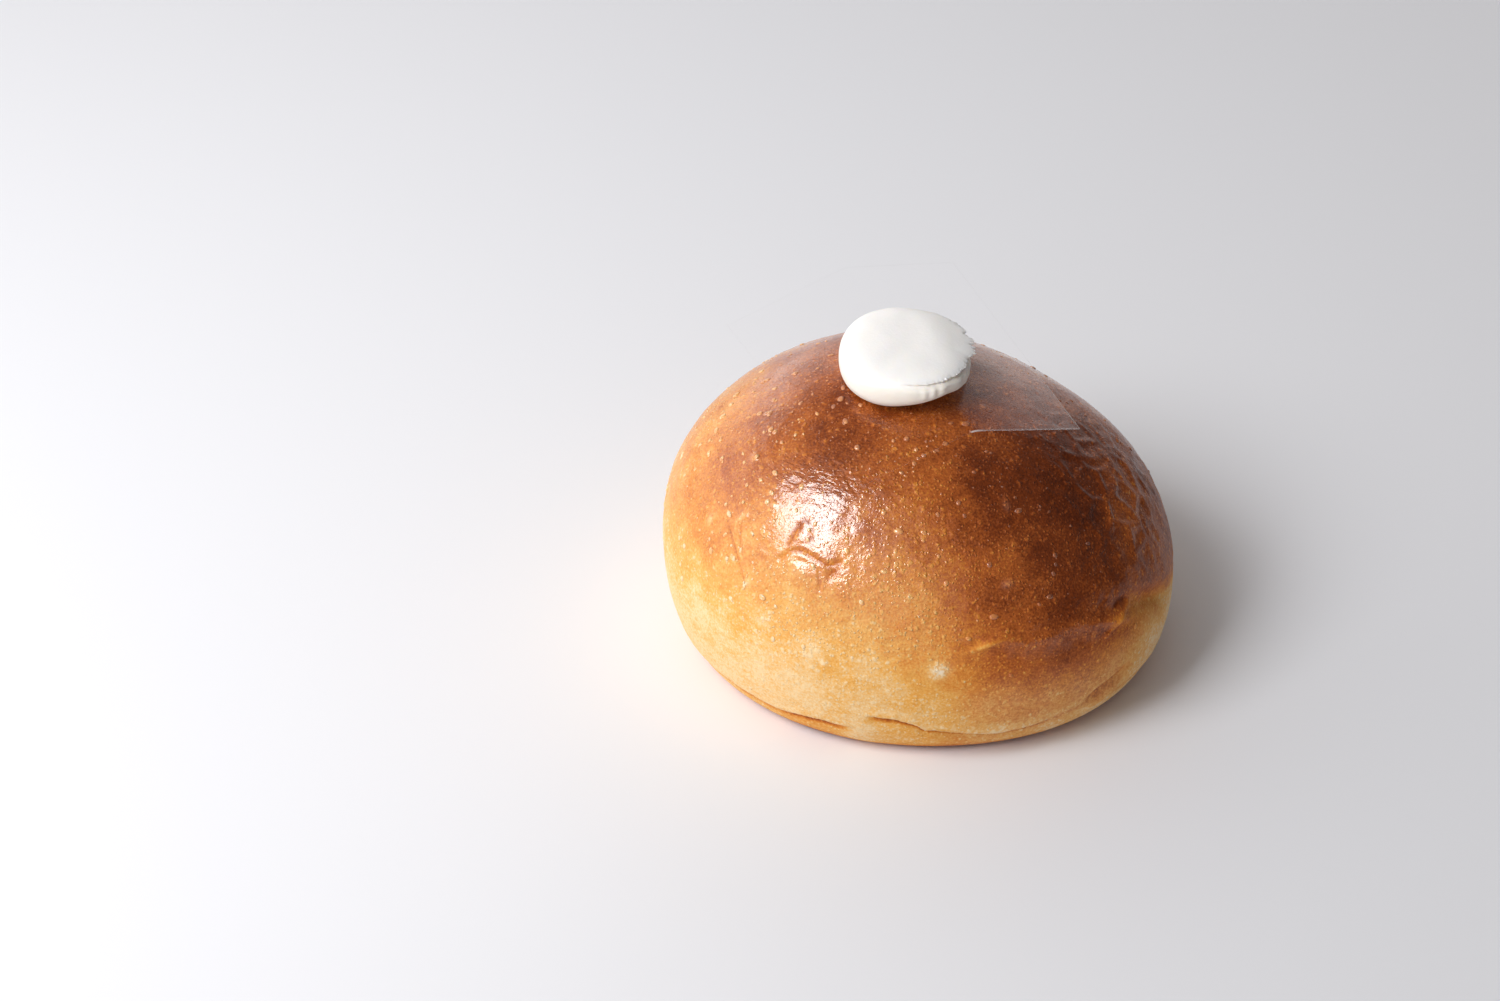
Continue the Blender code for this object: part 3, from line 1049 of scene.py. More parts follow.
@dataclass(frozen=True)
class CreamFinish:
    """Whipped cream: nearly white, soft, a little translucent, with the finest pits."""

    colour: Colour = (0.965, 0.948, 0.925)
    # Painted warm shade for the fold under the lip and the layer below it.
    fold_shade_colour: Colour = (0.78, 0.66, 0.48)
    roughness: float = 0.42
    index: float = 1.38
    scatter: float = 0.35
    scatter_reach: float = 0.003
    scatter_colour: Colour = (1.0, 0.8, 0.6)
    relief: float = 0.00008
    grain_weights: tuple[float, float] = (0.7, 0.35)

    def material(self, name: str, grain: bpy.types.NodeTree) -> bpy.types.Material:
        """Make the cream's material, mixed towards a painted warm shade where the fold attribute is high.

        Args:
            name: The material's name.
            grain: The shared grain group.

        Returns:
            The material.
        """
        shader = Shader(name)
        ends = {"Factor": shader.attribute("fold"), "A": (*self.colour, 1.0), "B": (*self.fold_shade_colour, 1.0)}
        mix = shader.add("ShaderNodeMix", ends, data_type="RGBA")
        coarse, fine = self.grain_weights
        grainy = shader.group(grain, Coarse=coarse, Fine=fine)
        shader.settle(
            Base_Color=mix.outputs["Result"],
            Normal=shader.bump(grainy.outputs["Height"], self.relief),
            Roughness=self.roughness,
            IOR=self.index,
            Subsurface_Weight=self.scatter,
            Subsurface_Scale=self.scatter_reach,
            Subsurface_Radius=self.scatter_colour,
        )
        return shader.material


@dataclass(frozen=True)
class FilmFinish:
    """Clear plastic film: smooth, colourless and bright where it mirrors the backdrop."""

    gloss_roughness: float = 0.12
    gloss_colour: Colour = (0.96, 0.91, 0.93)
    least_mirror: float = 0.015
    mirror_power: float = 5.0
    # Painted highlight on the film's cut edge.
    edge_highlight_colour: Colour = (0.9, 0.88, 0.88)
    edge_roughness: float = 0.4

    def material(self, name: str) -> bpy.types.Material:
        """Make the film's material: clear, and more of a mirror the flatter it is seen.

        Args:
            name: The material's name.

        Returns:
            The material, which reads the mirror attribute.
        """
        shader = Shader(name)
        shader.settle(Base_Color=(*self.gloss_colour, 1.0), Metallic=1.0, Roughness=self.gloss_roughness)
        steep = shader.math("POWER", shader.add("ShaderNodeLayerWeight").outputs["Facing"], self.mirror_power)
        rise = {0: steep, 1: 1.0 - self.least_mirror, 2: self.least_mirror}
        mirror = shader.add("ShaderNodeMath", rise, operation="MULTIPLY_ADD").outputs[0]
        share = shader.product(mirror, shader.attribute("mirror"))
        clear = shader.add("ShaderNodeBsdfTransparent").outputs["BSDF"]
        mix = shader.add("ShaderNodeMixShader", {0: share, 1: clear, 2: shader.principled.outputs["BSDF"]})
        shader.feed(shader.tree.nodes["Material Output"], "Surface", mix.outputs["Shader"])
        return shader.material

    def edge_highlight_material(self, name: str) -> bpy.types.Material:
        """Make the cut edge's material: a pale colour, shown as far as the edge attribute says, that paints
        the edge's highlight and the crease's glint.

        Args:
            name: The material's name.

        Returns:
            The material.
        """
        shader = Shader(name)
        shader.settle(Base_Color=(*self.edge_highlight_colour, 1.0), Roughness=self.edge_roughness,
                      Alpha=shader.attribute("edge"))
        return shader.material


@dataclass(frozen=True)
class Scatter:
    """Small flattened bits strewn over a piece: how many for each square metre, and their sizes."""

    density: float
    smallest: float
    largest: float
    longest: float
    flatness: float
    seed: int
    shortest: float = 0.8
    smallness: float = 3.0
    fineness: int = 2
    borrowed: tuple[str, ...] = ("bake", "pale", "glaze", "crinkle", "over", "lip_shade", "fold", "strewn")

    def tree(self, material: bpy.types.Material) -> Tree:
        """Build the tree that strews the bits, as thickly as the strewn attribute says.

        Args:
            material: The bits' material.

        Returns:
            The tree, with its density, sizes and seed as inputs.
        """
        tree = Tree("strewn_bits")
        density = tree.number("Density", "NodeSocketFloat", self.density)
        smallest = tree.number("Smallest", "NodeSocketFloat", self.smallest * MM)
        largest = tree.number("Largest", "NodeSocketFloat", self.largest * MM)
        seed = tree.number("Seed", "NodeSocketInt", self.seed)
        share = tree.add("GeometryNodeInputNamedAttribute", data_type="FLOAT")
        tree.feed(share, "Name", "strewn")
        where = {"Mesh": tree.entry.outputs["Geometry"], "Seed": seed,
                 "Density": tree.product(density, share.outputs["Attribute"])}
        scatter = tree.add("GeometryNodeDistributePointsOnFaces", where, distribute_method="RANDOM")
        bit = tree.add("GeometryNodeMeshIcoSphere", {"Radius": 1.0, "Subdivisions": self.fineness})
        skewed = tree.math("POWER", tree.draw(0.0, 1.0, seed), self.smallness)
        size = tree.add("ShaderNodeMapRange", {"Value": skewed, "To Min": smallest, "To Max": largest})
        form = {"X": tree.draw(self.shortest, self.longest), "Y": 1.0, "Z": self.flatness}
        flat = tree.add("ShaderNodeCombineXYZ", form).outputs["Vector"]
        sized = {0: flat, "Scale": size.outputs["Result"]}
        scale = tree.add("ShaderNodeVectorMath", sized, operation="SCALE")
        turn = {"Rotation": scatter.outputs["Rotation"], "Axis": (0.0, 0.0, 1.0),
                "Angle": tree.draw(0.0, math.pi)}
        turned = tree.add("FunctionNodeRotateEuler", rotation_type="AXIS_ANGLE", space="LOCAL", inputs=turn)
        places = {"Points": scatter.outputs["Points"], "Instance": bit.outputs["Mesh"],
                  "Rotation": turned.outputs["Rotation"], "Scale": scale.outputs["Vector"]}
        tree.finish_with(tree.add("GeometryNodeInstanceOnPoints", places).outputs["Instances"], material)
        return tree

    def over(self, carrier: bpy.types.Object, share: np.ndarray, material: bpy.types.Material,
             name: str) -> bpy.types.Object:
        """Strew the bits over a piece.

        Args:
            carrier: The piece.
            share: How thickly they lie at each of its points, from 0 to 1.
            material: The bits' material.
            name: The new object's name.

        Returns:
            The bits as one mesh, without the carrier's own values.
        """
        set_values(carrier, "strewn", share)
        made = self.tree(material).result_on(carrier, name, {"Seed": self.seed})
        carrier.data.attributes.remove(carrier.data.attributes["strewn"])
        for old in [a.name for a in made.data.attributes if a.name in self.borrowed]:
            made.data.attributes.remove(made.data.attributes[old])
        made.data.shade_smooth()
        return made


@dataclass(frozen=True)
class Seam:
    """The seam round the foot: a lip that hangs over a browner layer, darkened further by painted shade under
    the lip.
    """

    places: tuple[SeamPlace, ...] = (
        SeamPlace(-180.0, 6.5, 0.45, 0.2),
        SeamPlace(-150.0, 5.9, 0.35, 0.2),
        SeamPlace(-128.0, 5.6, 0.3, 0.3),
        SeamPlace(-123.5, 6.5, 0.55, 0.55),
        SeamPlace(-116.0, 7.0, 0.6, 0.55),
        SeamPlace(-110.8, 6.6, 0.3, 0.2),
        SeamPlace(-108.0, 6.6, 0.0),
        SeamPlace(-104.5, 10.5, 0.0),
        SeamPlace(-102.0, 10.6, 0.7, 0.1),
        SeamPlace(-97.9, 10.4, 0.95, 0.2),
        SeamPlace(-92.2, 9.1, 1.0, 0.2),
        SeamPlace(-90.9, 7.6, 1.2, 0.35),
        SeamPlace(-89.6, 8.2, 1.0, 0.3),
        SeamPlace(-83.4, 7.4, 1.25, 0.4),
        SeamPlace(-77.4, 6.6, 1.25, 0.45),
        SeamPlace(-72.7, 6.1, 1.15, 0.4),
        SeamPlace(-64.0, 6.6, 0.7, 0.3),
        SeamPlace(-58.0, 7.6, 0.3, 0.1),
        SeamPlace(-49.0, 8.6, 0.12),
        SeamPlace(-40.0, 7.4, 0.2),
        SeamPlace(-20.0, 7.0, 0.4, 0.2),
        SeamPlace(10.0, 8.6, 0.6, 0.3),
        SeamPlace(40.0, 8.1, 0.65, 0.3),
        SeamPlace(80.0, 5.7, 0.5, 0.3),
        SeamPlace(110.0, 7.3, 0.6, 0.3),
        SeamPlace(140.0, 8.8, 0.65, 0.3),
        SeamPlace(160.0, 7.8, 0.55, 0.25),
    )
    rounding: tuple[float, ...] = (-0.8, 0.0, 0.8)
    sway: Waves = Waves(0.22, 4.0, 31, (1.0, 1.0, 0.2))
    lip_lift: float = 0.3
    lip_middle: float = 0.7
    lip_half_height: float = 1.0
    undercut: float = 1.35
    undercut_edge: Ease = Ease(0.12, -0.3)
    undercut_rest: float = 0.2
    undercut_half_height: float = 2.0
    # Under the lip the crust is browner and is also darkened by painted shade.
    brown_and_shade_edge: Ease = Ease(0.0, -0.5, 0.0, 0.45)

    def line(self, angle: np.ndarray) -> list[np.ndarray]:
        """Follow the seam round the foot.

        Args:
            angle: Directions round the bun, in radians.

        Returns:
            Its height, its depth and how much browner and darker the layer under it is, from baking and
            painted shade, in each direction.
        """
        degrees = np.degrees(angle)
        angles = [place.angle for place in self.places]
        lines = zip(*((place.height, place.depth, place.brown_and_shade) for place in self.places))
        rounded = ([np.interp(degrees + step, angles, line, period=360) for step in self.rounding]
                   for line in lines)
        return [np.mean(values, axis=0) for values in rounded]

    def above(self, angle: np.ndarray, points: np.ndarray) -> np.ndarray:
        """Find how far each point lies above the seam, in millimetres."""
        return points[:, 2] - self.line(angle)[0] - self.sway.at(points)

    def lift(self, angle: np.ndarray, points: np.ndarray) -> np.ndarray:
        """Shape the lip that hangs over the layer below it.

        Args:
            angle: The points' directions, in radians.
            points: An n by 3 array on the crust.

        Returns:
            The lift of each point, in millimetres.
        """
        above = self.above(angle, points)
        lip = self.lip_lift * bell(above, self.lip_middle, self.lip_half_height)
        rest = self.undercut_rest
        hollow = rest + (1 - rest) * bell(above, 0.0, self.undercut_half_height)
        under = self.undercut_edge.of(above) * hollow
        return self.line(angle)[1] * (lip - self.undercut * under)

    def browning_and_shade(self, angle: np.ndarray, points: np.ndarray) -> np.ndarray:
        """Find how much darker the layer under the lip makes each point: browner crust with painted shade."""
        return self.line(angle)[2] * self.brown_and_shade_edge.of(self.above(angle, points))


@dataclass(frozen=True)
class DarkSkin:
    """The dark skin of the crown, slightly uneven, which ends in a raised ragged edge on the right front."""

    edge_line: tuple[tuple[float, float], ...] = (
        (-95.0, 31.5), (-86.0, 30.5), (-81.7, 27.3), (-76.0, 27.0), (-72.9, 26.2), (-68.6, 24.0),
        (-64.0, 24.6), (-59.9, 23.4), (-54.6, 24.7), (-50.0, 22.8), (-46.4, 22.4), (-42.0, 24.0),
        (-37.0, 25.3), (-30.0, 22.5), (-20.0, 20.5), (20.0, 19.0),
    )
    ragged: tuple[Waves, ...] = (Waves(1.8, 3.4, 44, (1.0, 1.0, 0.3)), Waves(1.5, 1.7, 45))
    front_start: Ease = Ease(-91.0, -72.0)
    front_end: Ease = Ease(45.0, 0.0)
    step: Ease = Ease(-0.9, 0.7, 0.0, 0.16)
    step_fade: Ease = Ease(9.0, 2.0)
    upper: Ease = Ease(10.0, 26.0)
    upper_waves: tuple[Waves, ...] = (Waves(0.04, 2.2, 21, (1.0, 1.0, 1.9)), Waves(0.07, 5.5, 22))
    waves: Waves = Waves(0.035, 1.5, 23)

    def right_front(self, angle: np.ndarray) -> np.ndarray:
        """Find how much each direction belongs to the right front, where the dark skin ends in an edge."""
        return self.front_start.of(np.degrees(angle)) * self.front_end.of(np.degrees(angle))

    def inside(self, angle: np.ndarray, points: np.ndarray) -> np.ndarray:
        """Find how far each point lies above the skin's edge, in millimetres."""
        line = np.interp(np.degrees(angle), *zip(*self.edge_line))
        return points[:, 2] - line - sum(waves.at(points) for waves in self.ragged)

    def lift(self, angle: np.ndarray, points: np.ndarray) -> np.ndarray:
        """Give the whole crown the slight unevenness of a baked skin, and the dark skin its edge.

        Args:
            angle: The points' directions, in radians.
            points: An n by 3 array on the crust.

        Returns:
            The lift of each point, in millimetres.
        """
        inside = self.inside(angle, points)
        step = self.right_front(angle) * self.step.of(inside) * self.step_fade.of(inside)
        waves = self.upper.of(points[:, 2]) * sum(waves.at(points) for waves in self.upper_waves)
        return waves + self.waves.at(points) + step


@dataclass(frozen=True)
class ShoulderWrinkles:
    """A net of soft upright wrinkles in the skin of the right shoulder."""

    angle: float = -17.0
    half_spread: float = 25.0
    height: float = 37.0
    half_height: float = 11.0
    stretch: Triple = (1.0, 1.0, 0.42)
    bend: Waves = Waves(1.1, 6.0, 11)
    coarse: Net = Net(0.44, 4.3, 12, 0.23)
    fine: Net = Net(0.12, 2.3, 13, 0.2)
    sink: float = 0.18

    def lift(self, angle: np.ndarray, points: np.ndarray) -> np.ndarray:
        """Find the lift of each point, in millimetres.

        Args:
            angle: The points' directions, in radians.
            points: An n by 3 array on the crust.

        Returns:
            The lifts, which sink between the wrinkles and fade out round the shoulder.
        """
        zone = bell(np.degrees(angle), self.angle, self.half_spread)
        zone = zone * bell(points[:, 2], self.height, self.half_height)
        bent = points * np.array(self.stretch) + self.bend.at(points)[:, None]
        return zone * (self.coarse.at(bent) + self.fine.at(bent) - self.sink)


@dataclass(frozen=True)
class ShineWrinkles:
    """Level wrinkles in the skin above the bright spot, bowed round it."""

    crust: CrustShape
    angle: float = -122.5
    height: float = 47.6
    half_length: float = 10.5
    half_height: float = 4.0
    bow: float = 0.02
    stretch: tuple[float, float] = (0.35, 1.25)
    waves: Waves = Waves(0.045, 1.2, 16)
    lines: Net = Net(0.03, 1.4, 15, 0.25)
    lines_from: float = 9.0

    def offsets(self, points: np.ndarray) -> tuple[np.ndarray, np.ndarray]:
        """Measure how far each point lies beside and above the wrinkles' middle."""
        place, _, level, upward = self.crust.spot(self.angle, self.height)
        return (points - place) @ level, (points - place) @ upward

    def share(self, points: np.ndarray) -> np.ndarray:
        """Find how much each point belongs to the wrinkled skin."""
        beside, above = self.offsets(points)
        return bell(beside, 0.0, self.half_length, 4) * bell(above, 0.0, self.half_height)

    def lift(self, points: np.ndarray) -> np.ndarray:
        """Find the lift of each point, in millimetres.

        Args:
            points: An n by 3 array on the crust.

        Returns:
            Fine level waves, with sunk lines between them.
        """
        beside, above = self.offsets(points)
        bowed = above + self.bow * beside**2
        flat = np.stack([beside * self.stretch[0], bowed * self.stretch[1], 0 * bowed], axis=-1)
        return self.share(points) * (self.waves.at(flat) - self.lines.at(flat + self.lines_from))


@dataclass(frozen=True)
class EggWash:
    """Where egg wash makes the crust shine: softly ended on the left, along the dark skin on the right."""

    sway: Waves = Waves(2.0, 7.0, 46)
    left: Ease = Ease(17.0, 36.0)
    right_edge: Ease = Ease(-2.0, 3.0, 0.05, 0.43)
    right_crown: Ease = Ease(30.0, 36.0, 0.0, 0.3)
    right_fade: Ease = Ease(-62.0, -32.0, 1.0, 0.6)
    left_flank: Ease = Ease(-38.0, -22.0, 0.55, 1.0)
    crown: Ease = Ease(50.0, 54.0, 1.0, 0.4)

    def share(self, skin: DarkSkin, angle: np.ndarray, points: np.ndarray) -> np.ndarray:
        """Find how far the egg wash covers each point.

        Args:
            skin: The dark skin.
            angle: The points' directions, in radians.
            points: An n by 3 array on the crust.

        Returns:
            Shares from 0 to 1.
        """
        height = points[:, 2]
        soft = self.left.of(height + self.sway.at(points))
        sharp = self.right_edge.of(skin.inside(angle, points)) + self.right_crown.of(height)
        sharp = sharp * self.right_fade.of(np.degrees(angle))
        share = soft + (sharp - soft) * skin.right_front(angle)
        return share * self.left_flank.of(points[:, 0]) * self.crown.of(height)


@dataclass(frozen=True)
class Baking:
    """How dark the crust is baked: by its height, and by its distance from the darkest place."""

    dark_place: Triple = (25.0, -13.0, 46.0)
    dark_form: Triple = (1.0, 0.9, 1.0)
    darkest: float = 1.03
    fall: float = 0.0165
    low_down: Ease = Ease(10.0, 28.0, 0.7, 1.0)
    by_height: tuple[Ease, ...] = (Ease(10.0, 46.0, 0.04, 0.4), Ease(44.0, 54.0, 0.0, 0.28))
    blend: float = 0.1
    edge_start: Ease = Ease(-3.0, 2.0, 0.0, 0.15)
    edge_end: Ease = Ease(22.0, 6.0)
    below_edge: Ease = Ease(3.0, -3.0)
    above_foot: Ease = Ease(5.0, 11.0)
    flank: Ease = Ease(-58.0, -24.0, 0.22, -0.1)
    patches: tuple[Waves, ...] = (Waves(0.07, 15.0, 41), Waves(0.07, 6.0, 42))
    patches_from: Ease = Ease(8.0, 24.0)
    palest: float = 0.02
    underside: Ease = Ease(3.0, 0.5, 0.0, 0.35)
    dust: Waves = Waves(0.4, 5.0, 47)
    dust_share: float = 0.8
    dust_height: Ease = Ease(23.0, 13.0, 0.0, 0.14)

    def degree(self, skin: DarkSkin, seam: Seam, angle: np.ndarray, points: np.ndarray) -> np.ndarray:
        """Work out how dark the crust is: its baking, with painted shade under the seam's lip.

        Args:
            skin: The dark skin.
            seam: The seam round the foot.
            angle: The points' directions, in radians.
            points: An n by 3 array on the crust.

        Returns:
            Values from 0, pale, to 1, darkest.
        """
        height = points[:, 2]
        reach = np.linalg.norm((points - np.array(self.dark_place)) * np.array(self.dark_form), axis=1)
        by_reach = (self.darkest - self.fall * reach) * self.low_down.of(height)
        by_height = sum(ease.of(height) for ease in self.by_height)
        bake = (by_height + by_reach + np.hypot(by_height - by_reach, self.blend)) / 2
        inside = skin.inside(angle, points)
        edge = self.edge_start.of(inside) * self.edge_end.of(inside)
        below = self.flank.of(np.degrees(angle)) * self.below_edge.of(inside) * self.above_foot.of(height)
        patches = sum(waves.at(points) for waves in self.patches) * self.patches_from.of(height)
        bake = np.maximum(bake + skin.right_front(angle) * (edge + below) + patches, self.palest)
        # The seam adds browner crust and painted shade under its lip.
        return np.clip(bake + seam.browning_and_shade(angle, points) + self.underside.of(height), 0.0, 1.0)

    def paleness(self, skin: DarkSkin, angle: np.ndarray, points: np.ndarray) -> np.ndarray:
        """Find how floury the right front is near its foot."""
        dusted = skin.right_front(angle) * (self.dust_share + self.dust.at(points))
        return np.clip(dusted, 0, 1) * self.dust_height.of(points[:, 2])


@dataclass
class Bun:
    """The baked bun: a fine closed crust with its folds, dents, wrinkles, pits and blisters."""

    crust: CrustShape
    shine: ShineWrinkles
    seam: Seam = Seam()
    skin: DarkSkin = DarkSkin()
    shoulder: ShoulderWrinkles = ShoulderWrinkles()
    wash: EggWash = EggWash()
    baking: Baking = Baking()
    cells: int = 128
    front: float = -95.0
    front_fineness: float = 0.35
    inset: float = 0.07
    lump_height: float = 0.35
    lump_length: float = 9.0
    lump_waves: tuple[tuple[Triple, float], ...] = (
        ((1.0, 0.0, 0.6), 1.0), ((-0.4, 1.0, 0.0), 2.2), ((0.0, 0.9, 1.7), 0.5))
    lump_shares: tuple[float, float] = (0.6, 0.4)
    rim_place: float = 1.9
    rim_sharpness: float = 2.0
    rise_from_floor: float = 4.0
    crown_margin: float = 6.0
    most_pale: float = 0.5
    blistering: Scatter = Scatter(260000.0, 0.12, 0.6, 1.6, 0.4, 7)
    blister_left: Ease = Ease(30.0, -30.0, 0.25, 1.0)
    blister_upper: Ease = Ease(16.0, 34.0)
    blister_patches: Waves = Waves(0.9, 9.0, 51)
    blister_middle: float = 0.5
    blister_limits: tuple[float, float] = (0.05, 1.0)
    blister_least: float = 0.006
    blister_lowest: float = 3.0
    blister_paleness: Ease = Ease(20.0, -25.0, 0.08, 0.2)
    marks: tuple[Mark, ...] = (
        Mark(-29.0, 22.6, -26.0, 6.5, 2.3, -1.7, bake=-0.06, dull=0.8),
        Mark(-46.0, 31.0, -12.0, 5.0, 2.1, 0.3),
        Mark(-63.0, 29.5, 8.0, 4.0, 1.7, 0.2),
        Mark(-20.0, 36.0, 0.0, 9.0, 12.0, 0.0, bake=-0.15),
        Mark(-140.0, 53.5, 0.0, 12.0, 7.0, 0.0, bake=0.08),
        Mark(-43.0, 24.3, -18.0, 4.6, 1.1, 0.7, bake=-0.2),
        Mark(-71.0, 27.0, -8.0, 4.0, 1.6, 0.25),
        Mark(-60.0, 26.4, 12.0, 4.5, 1.8, 0.3),
        Mark(-50.5, 26.0, -14.0, 3.5, 1.5, 0.3),
        Mark(-116.0, 46.0, 0.0, 10.0, 6.5, 0.0, bake=0.17),
        Mark(-122.0, 41.5, 0.0, 5.5, 4.5, 0.0, bake=0.13),
        Mark(-92.0, 25.0, 0.0, 12.0, 6.0, 0.0, bake=-0.05),
        Mark(-158.0, 40.0, 0.0, 11.0, 11.0, 0.0, bake=0.12),
        Mark(-140.0, 48.0, 0.0, 10.0, 7.0, 0.0, bake=0.1),
        Mark(-100.0, 42.5, 0.0, 7.0, 6.0, 0.0, bake=0.06),
        # Painted shade: the pocket by the foot is darkened in its hollow.
        Mark(-45.0, 9.9, 26.0, 4.0, 1.5, -2.4, bake=0.4),
        Mark(-44.5, 12.2, 24.0, 4.2, 0.9, 0.7, bake=-0.1),
        Mark(-45.0, 7.6, 26.0, 3.6, 1.0, 1.0),
        Mark(-123.0, 40.9, 60.0, 1.5, 1.1, 0.12, pale=0.03),
        # Painted highlight: this raised spot is made paler where the bright patch lies on it.
        Mark(-121.5, 36.0, -35.0, 1.8, 0.9, 0.18, pale=0.08),
        Mark(-112.4, 37.2, 70.0, 2.2, 1.0, -0.2, bake=0.14, dull=0.8),
        Mark(-76.0, 26.8, 12.0, 2.7, 0.6, 0.55, bake=-0.3),
        Mark(-152.7, 46.4, 0.0, 0.8, 0.8, 0.3, pale=0.12),
        Mark(-143.3, 39.8, 70.0, 1.5, 0.6, 0.3, pale=0.16),
        Mark(-135.3, 43.1, 0.0, 0.6, 0.6, 0.25, pale=0.14),
        Mark(-153.8, 36.2, 80.0, 0.9, 0.6, 0.2, pale=0.2),
        Mark(-135.3, 31.0, 60.0, 0.8, 0.5, 0.2, pale=0.25),
        Mark(-113.5, 21.6, 0.0, 0.6, 0.6, 0.15, pale=0.25),
        Mark(-117.9, 22.3, 0.0, 0.5, 0.5, 0.1, pale=0.2),
        Mark(-86.8, 22.5, 30.0, 1.7, 1.4, 0.15, pale=0.3),
        Mark(-57.5, 45.0, 80.0, 1.0, 0.6, 0.25, pale=0.08),
        Mark(-67.0, 35.8, 0.0, 0.9, 0.7, 0.25, pale=0.1),
    )
    strokes: tuple[Stroke, ...] = (
        Stroke(((-127.8, 36.8), (-125.5, 38.4), (-123.0, 38.9), (-119.0, 38.7), (-114.6, 37.9),
                (-110.9, 38.7)), 0.42, -0.16, rim=0.05, bake=0.08, dull=0.9),
        Stroke(((-126.6, 39.2), (-126.0, 40.6), (-124.9, 41.9)), 0.6, -0.13, bake=0.1, dull=0.95),
        Stroke(((-124.9, 42.1), (-123.6, 42.9), (-122.0, 42.6)), 0.3, -0.1, bake=0.08, dull=0.9),
        Stroke(((-120.6, 42.0), (-119.9, 41.1), (-120.9, 40.3)), 0.3, -0.08, bake=0.08, dull=0.8),
        Stroke(((-116.2, 37.2), (-115.4, 33.9)), 0.25, -0.2, bake=0.1),
        Stroke(((-146.2, 37.2), (-142.5, 35.4), (-139.2, 33.4), (-136.4, 31.2)), 0.22, -0.25, bake=0.16),
        Stroke(((-143.0, 38.6), (-141.2, 36.8), (-140.0, 35.6)), 0.3, -0.2, bake=0.12),
        # Painted shade darkens the hook-shaped dent.
        Stroke(((-42.0, 26.6), (-40.4, 27.1), (-38.6, 26.8)), 0.7, -0.35, bake=0.16, dull=0.9),
        Stroke(((-46.5, 22.4), (-42.2, 24.2), (-37.4, 25.6)), 0.5, 0.45, bake=-0.12),
    )

    def mark_shape(self, mark: Mark, points: np.ndarray) -> np.ndarray:
        """Find how strongly a mark is felt at each point.

        Args:
            mark: The mark.
            points: An n by 3 array on the crust.

        Returns:
            1 at its middle, fading to 0 along and across its own direction.
        """
        place, normal, level, upward = self.crust.spot(mark.angle, mark.height)
        turn = math.radians(mark.turn)
        offset = points - place
        along = offset @ (level * math.cos(turn) + upward * math.sin(turn))
        across = offset @ (upward * math.cos(turn) - level * math.sin(turn))
        away = offset @ normal
        spread = (along / mark.half_length) ** 2 + (across / mark.half_width) ** 2
        return np.exp(-spread - (away / mark.half_length) ** 2)

    def stroke_reach(self, stroke: Stroke, points: np.ndarray) -> np.ndarray:
        """Find each point's distance from a stroke, in its half widths.

        Args:
            stroke: The stroke.
            points: An n by 3 array on the crust.

        Returns:
            The distances, as shares of the stroke's half width.
        """
        spots = [self.crust.spot(angle, height)[0] for angle, height in stroke.places]
        reach = np.full(len(points), np.inf)
        for start, end in zip(spots, spots[1:]):
            run = end - start
            share = np.clip((points - start) @ run / (run @ run), 0, 1)
            reach = np.minimum(reach, np.linalg.norm(points - start - share[:, None] * run, axis=1))
        return reach / stroke.half_width

    def stroke_shape(self, stroke: Stroke, points: np.ndarray) -> np.ndarray:
        """Find how strongly a stroke is felt at each point."""
        return bell(self.stroke_reach(stroke, points), 0.0, 1.0)

    def lump_lift(self, points: np.ndarray) -> np.ndarray:
        """Lift and sink the crust slowly, as a hand-shaped bun has it.

        Args:
            points: An n by 3 array on the crust.

        Returns:
            The lift of each point, in millimetres.
        """
        turned = points / self.lump_length
        first, second, third = (np.sin(turned @ np.array(way) + start) for way, start in self.lump_waves)
        return self.lump_height * (self.lump_shares[0] * first * second + self.lump_shares[1] * third)

    def glaze_share(self, angle: np.ndarray, points: np.ndarray) -> np.ndarray:
        """Find how far the egg wash covers each point, less where marks and strokes are dull.

        Args:
            angle: The points' directions, in radians.
            points: An n by 3 array on the crust.

        Returns:
            Shares from 0 to 1.
        """
        dull = sum(mark.dull * self.mark_shape(mark, points) for mark in self.marks if mark.dull)
        for stroke in self.strokes:
            dull = np.maximum(dull, stroke.dull * self.stroke_shape(stroke, points))
        return self.wash.share(self.skin, angle, points) * (1 - np.clip(dull, 0, 1))

    def lift(self, angle: np.ndarray, points: np.ndarray) -> np.ndarray:
        """Add up the crust's relief, which leaves the underside flat and the crown under the film clear.

        Args:
            angle: The points' directions, in radians.
            points: An n by 3 array on the crust.

        Returns:
            The lift of each point, in millimetres.
        """
        total = self.seam.lift(angle, points) + self.lump_lift(points)
        for mark in self.marks:
            total = total + mark.lift * self.mark_shape(mark, points)
        for stroke in self.strokes:
            reach = self.stroke_reach(stroke, points)
            rim = stroke.rim * np.exp(-self.rim_sharpness * (reach - self.rim_place) ** 2)
            total = total + stroke.lift * bell(reach, 0.0, 1.0) + rim
        total = total + self.shoulder.lift(angle, points) + self.skin.lift(angle, points)
        total = total + self.shine.lift(points)
        above_floor = np.clip(points[:, 2] / self.rise_from_floor, 0, 1)
        crown_clear = np.clip((self.crust.crown_height - points[:, 2]) / self.crown_margin, 0, 1)
        return total * above_floor * crown_clear - self.inset

    def ball_tree(self) -> Tree:
        """Build the tree that makes an evenly divided ball from a cube of cells.

        Returns:
            The tree, with its number of cells as an input.
        """
        tree = Tree("even_ball")
        points = tree.total(tree.number("Cells", "NodeSocketInt", self.cells), 1.0)
        cube = tree.add("GeometryNodeMeshCube", {f"Vertices {axis}": points for axis in "XYZ"})
        tree.feed(cube, "Size", (2.0, 2.0, 2.0))
        tree.finish_with(cube.outputs["Mesh"], None)
        return tree

